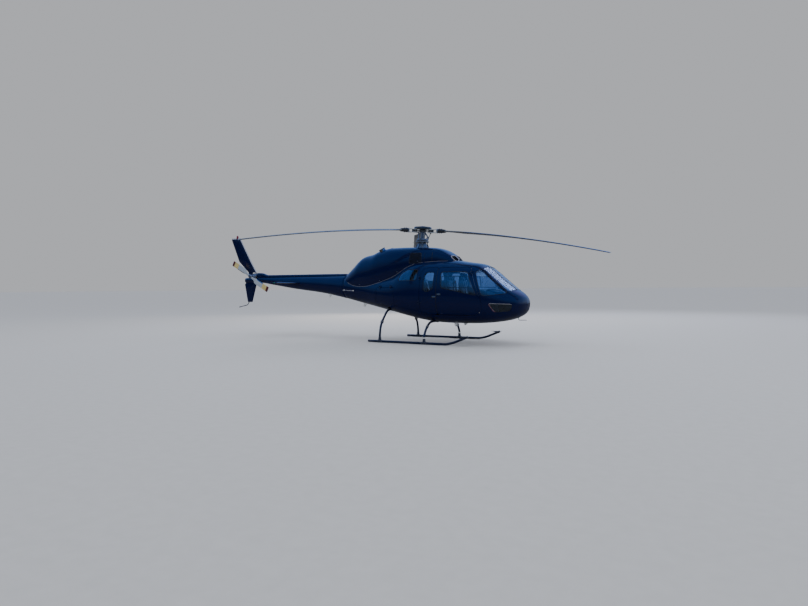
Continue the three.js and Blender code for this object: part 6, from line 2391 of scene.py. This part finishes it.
def makeCamera():
    data = bpy.data.cameras.new("camera")
    data.lens, data.sensor_width = camera["lens"], 36.0
    data.clip_start, data.clip_end = 0.1, 500
    lens = bpy.data.objects.new("camera", data)
    scene.collection.objects.link(lens)
    heading, down, roll = (math.radians(camera[key]) for key in ("heading", "down", "roll"))
    level = Vector((-math.sin(heading), math.cos(heading), 0))
    right = Vector((math.cos(heading), math.sin(heading), 0))
    ahead = level * math.cos(down) - Vector((0, 0, 1)) * math.sin(down)
    up = level * math.sin(down) + Vector((0, 0, 1)) * math.cos(down)
    rolledRight = right * math.cos(roll) + up * math.sin(roll)
    rolledUp = up * math.cos(roll) - right * math.sin(roll)
    lens.matrix_world = axesAt(camera["place"], rolledRight, rolledUp, -ahead)
    scene.camera = lens


studio = {"floorRadius": 300, "floor": (0.62, 0.62, 0.63), "floorShadeInPaint": 0.14, "light": (0.76, 0.79, 0.84),
          "backdrop": (0.480, 0.490, 0.515), "glow": (0.30, 0.40, 1.00), "glowAt": (0.143, 0.829, 0.541),
          "floorCorners": 96}
# What glossy paint mirrors on the camera's side and beyond: height of the direction and colour
skyRows = {
    "near": [(0.0, (0.003, 0.008, 0.024)), (0.07, (0.008, 0.017, 0.048)), (0.11, (0.070, 0.080, 0.120)),
             (0.17, (0.060, 0.140, 0.340)), (0.42, (0.055, 0.210, 0.660)), (1.0, (0.025, 0.130, 0.520))],
    "far": [(0.0, (0.160, 0.200, 0.300)), (0.10, (0.260, 0.360, 0.620)), (0.35, (0.160, 0.330, 0.800)),
            (1.0, (0.030, 0.130, 0.520))],
}
areaLamps = [  # name, place, target, size, watts, colour
    ("skyLamp", (4.2, 18.5, 13.5), (1, 0, 1.5), 11, 1050, (0.78, 0.83, 1.0)),
    ("rimLamp", (-9, 14, 7), (0, 0, 1.5), 6, 550, (1.0, 0.88, 0.74)),
    ("topLamp", (0, 1, 15), (0, 0, 1.5), 16, 600, (0.78, 0.87, 1.0)),
    ("frontLamp", (15, -7, 9), (2, 0, 1.4), 10, 160, (0.85, 0.91, 1.0)),
]


def makeWorld():
    # plain light for the scene, a plain backdrop behind it, and a soft sky for reflections
    world = bpy.data.worlds.new("studio")
    world.use_nodes = True
    tree = world.node_tree
    source = tree.nodes.new("ShaderNodeTexCoord")
    split = add(tree, "ShaderNodeSeparateXYZ", {"Vector": source.outputs["Generated"]})
    away = add(tree, "ShaderNodeMapRange", {"Value": split.outputs["Y"]}, From_Min=-0.25, From_Max=0.35)
    near, far = (makeRamp(tree, skyRows[key], split.outputs["Z"]) for key in ("near", "far"))
    sky = mixColors(tree, away.outputs[0], near, far)
    toward = tree.nodes.new("ShaderNodeVectorMath")  # a soft bright patch in the sky beyond
    toward.operation = "DOT_PRODUCT"
    tree.links.new(source.outputs["Generated"], toward.inputs[0])
    toward.inputs[1].default_value = studio["glowAt"]
    patch = add(tree, "ShaderNodeMapRange", {"Value": toward.outputs["Value"]}, From_Min=0.935,
                From_Max=0.990)
    patch.interpolation_type = "SMOOTHSTEP"
    sky = mixColors(tree, patch.outputs[0], sky, (*studio["glow"], 1))
    path = tree.nodes.new("ShaderNodeLightPath")
    seen = mathNode(tree, "MAXIMUM", path.outputs["Is Camera Ray"], path.outputs["Is Transmission Ray"])
    plain = mixColors(tree, seen, (*studio["light"], 1), (*studio["backdrop"], 1))
    tree.links.new(mixColors(tree, path.outputs["Is Glossy Ray"], plain, sky),
                   tree.nodes["Background"].inputs["Color"])
    scene.world = world


def makeStudio():
    count, points = studio["floorCorners"], []
    for share in (0.0001, 0.1, 0.4, 1.0):
        radius = studio["floorRadius"] * share
        points += circle(Vector(), Vector((1, 0, 0)), Vector((0, 1, 0)), radius, count)
    faces = [(k + i, k + (i + 1) % count, k + count + (i + 1) % count, k + count + i)
             for k in range(0, len(points) - count, count) for i in range(count)]
    faces.append(tuple(range(count - 1, -1, -1)))
    mesh = bpy.data.meshes.new("studioFloor")
    mesh.from_pydata(points, [], faces)
    mesh.polygons.foreach_set("use_smooth", [True] * len(mesh.polygons))
    floor = bpy.data.objects.new("studioFloor", mesh)
    scene.collection.objects.link(floor)
    looks["floor"] = finish("paleFloor", studio["floor"], 0.8, dust=0.0, mottle=0.03, bump=0.1, grain=60.0,
                            Specular_IOR_Level=0.1)
    # painted shade: glossy rays see a darker floor colour, so the paint's lower side mirrors a shaded floor
    tree = looks["floor"].node_tree  # the paint mirrors a darker floor, as it does out of doors
    shader = tree.nodes["Principled BSDF"]
    current = shader.inputs["Base Color"].links[0].from_socket
    path = tree.nodes.new("ShaderNodeLightPath")
    shade = tuple(value * studio["floorShadeInPaint"] for value in studio["floor"])
    tree.links.new(mixColors(tree, path.outputs["Is Glossy Ray"], current, (*shade, 1)),
                   shader.inputs["Base Color"])
    mesh.materials.append(looks["floor"])
    for name, place, target, size, watts, color in areaLamps:
        data = bpy.data.lights.new(name, "AREA")
        data.shape, data.size, data.energy, data.color = "DISK", size, watts, color
        lamp = bpy.data.objects.new(name, data)
        scene.collection.objects.link(lamp)
        lamp.location = place
        lamp.visible_glossy = False  # the paint mirrors the sky instead
        lamp.rotation_mode = "QUATERNION"
        lamp.rotation_quaternion = (Vector(target) - Vector(place)).to_track_quat("-Z", "Y")


makeWorld()
makeCamera()
makeStudio()
print("camera and studio made")
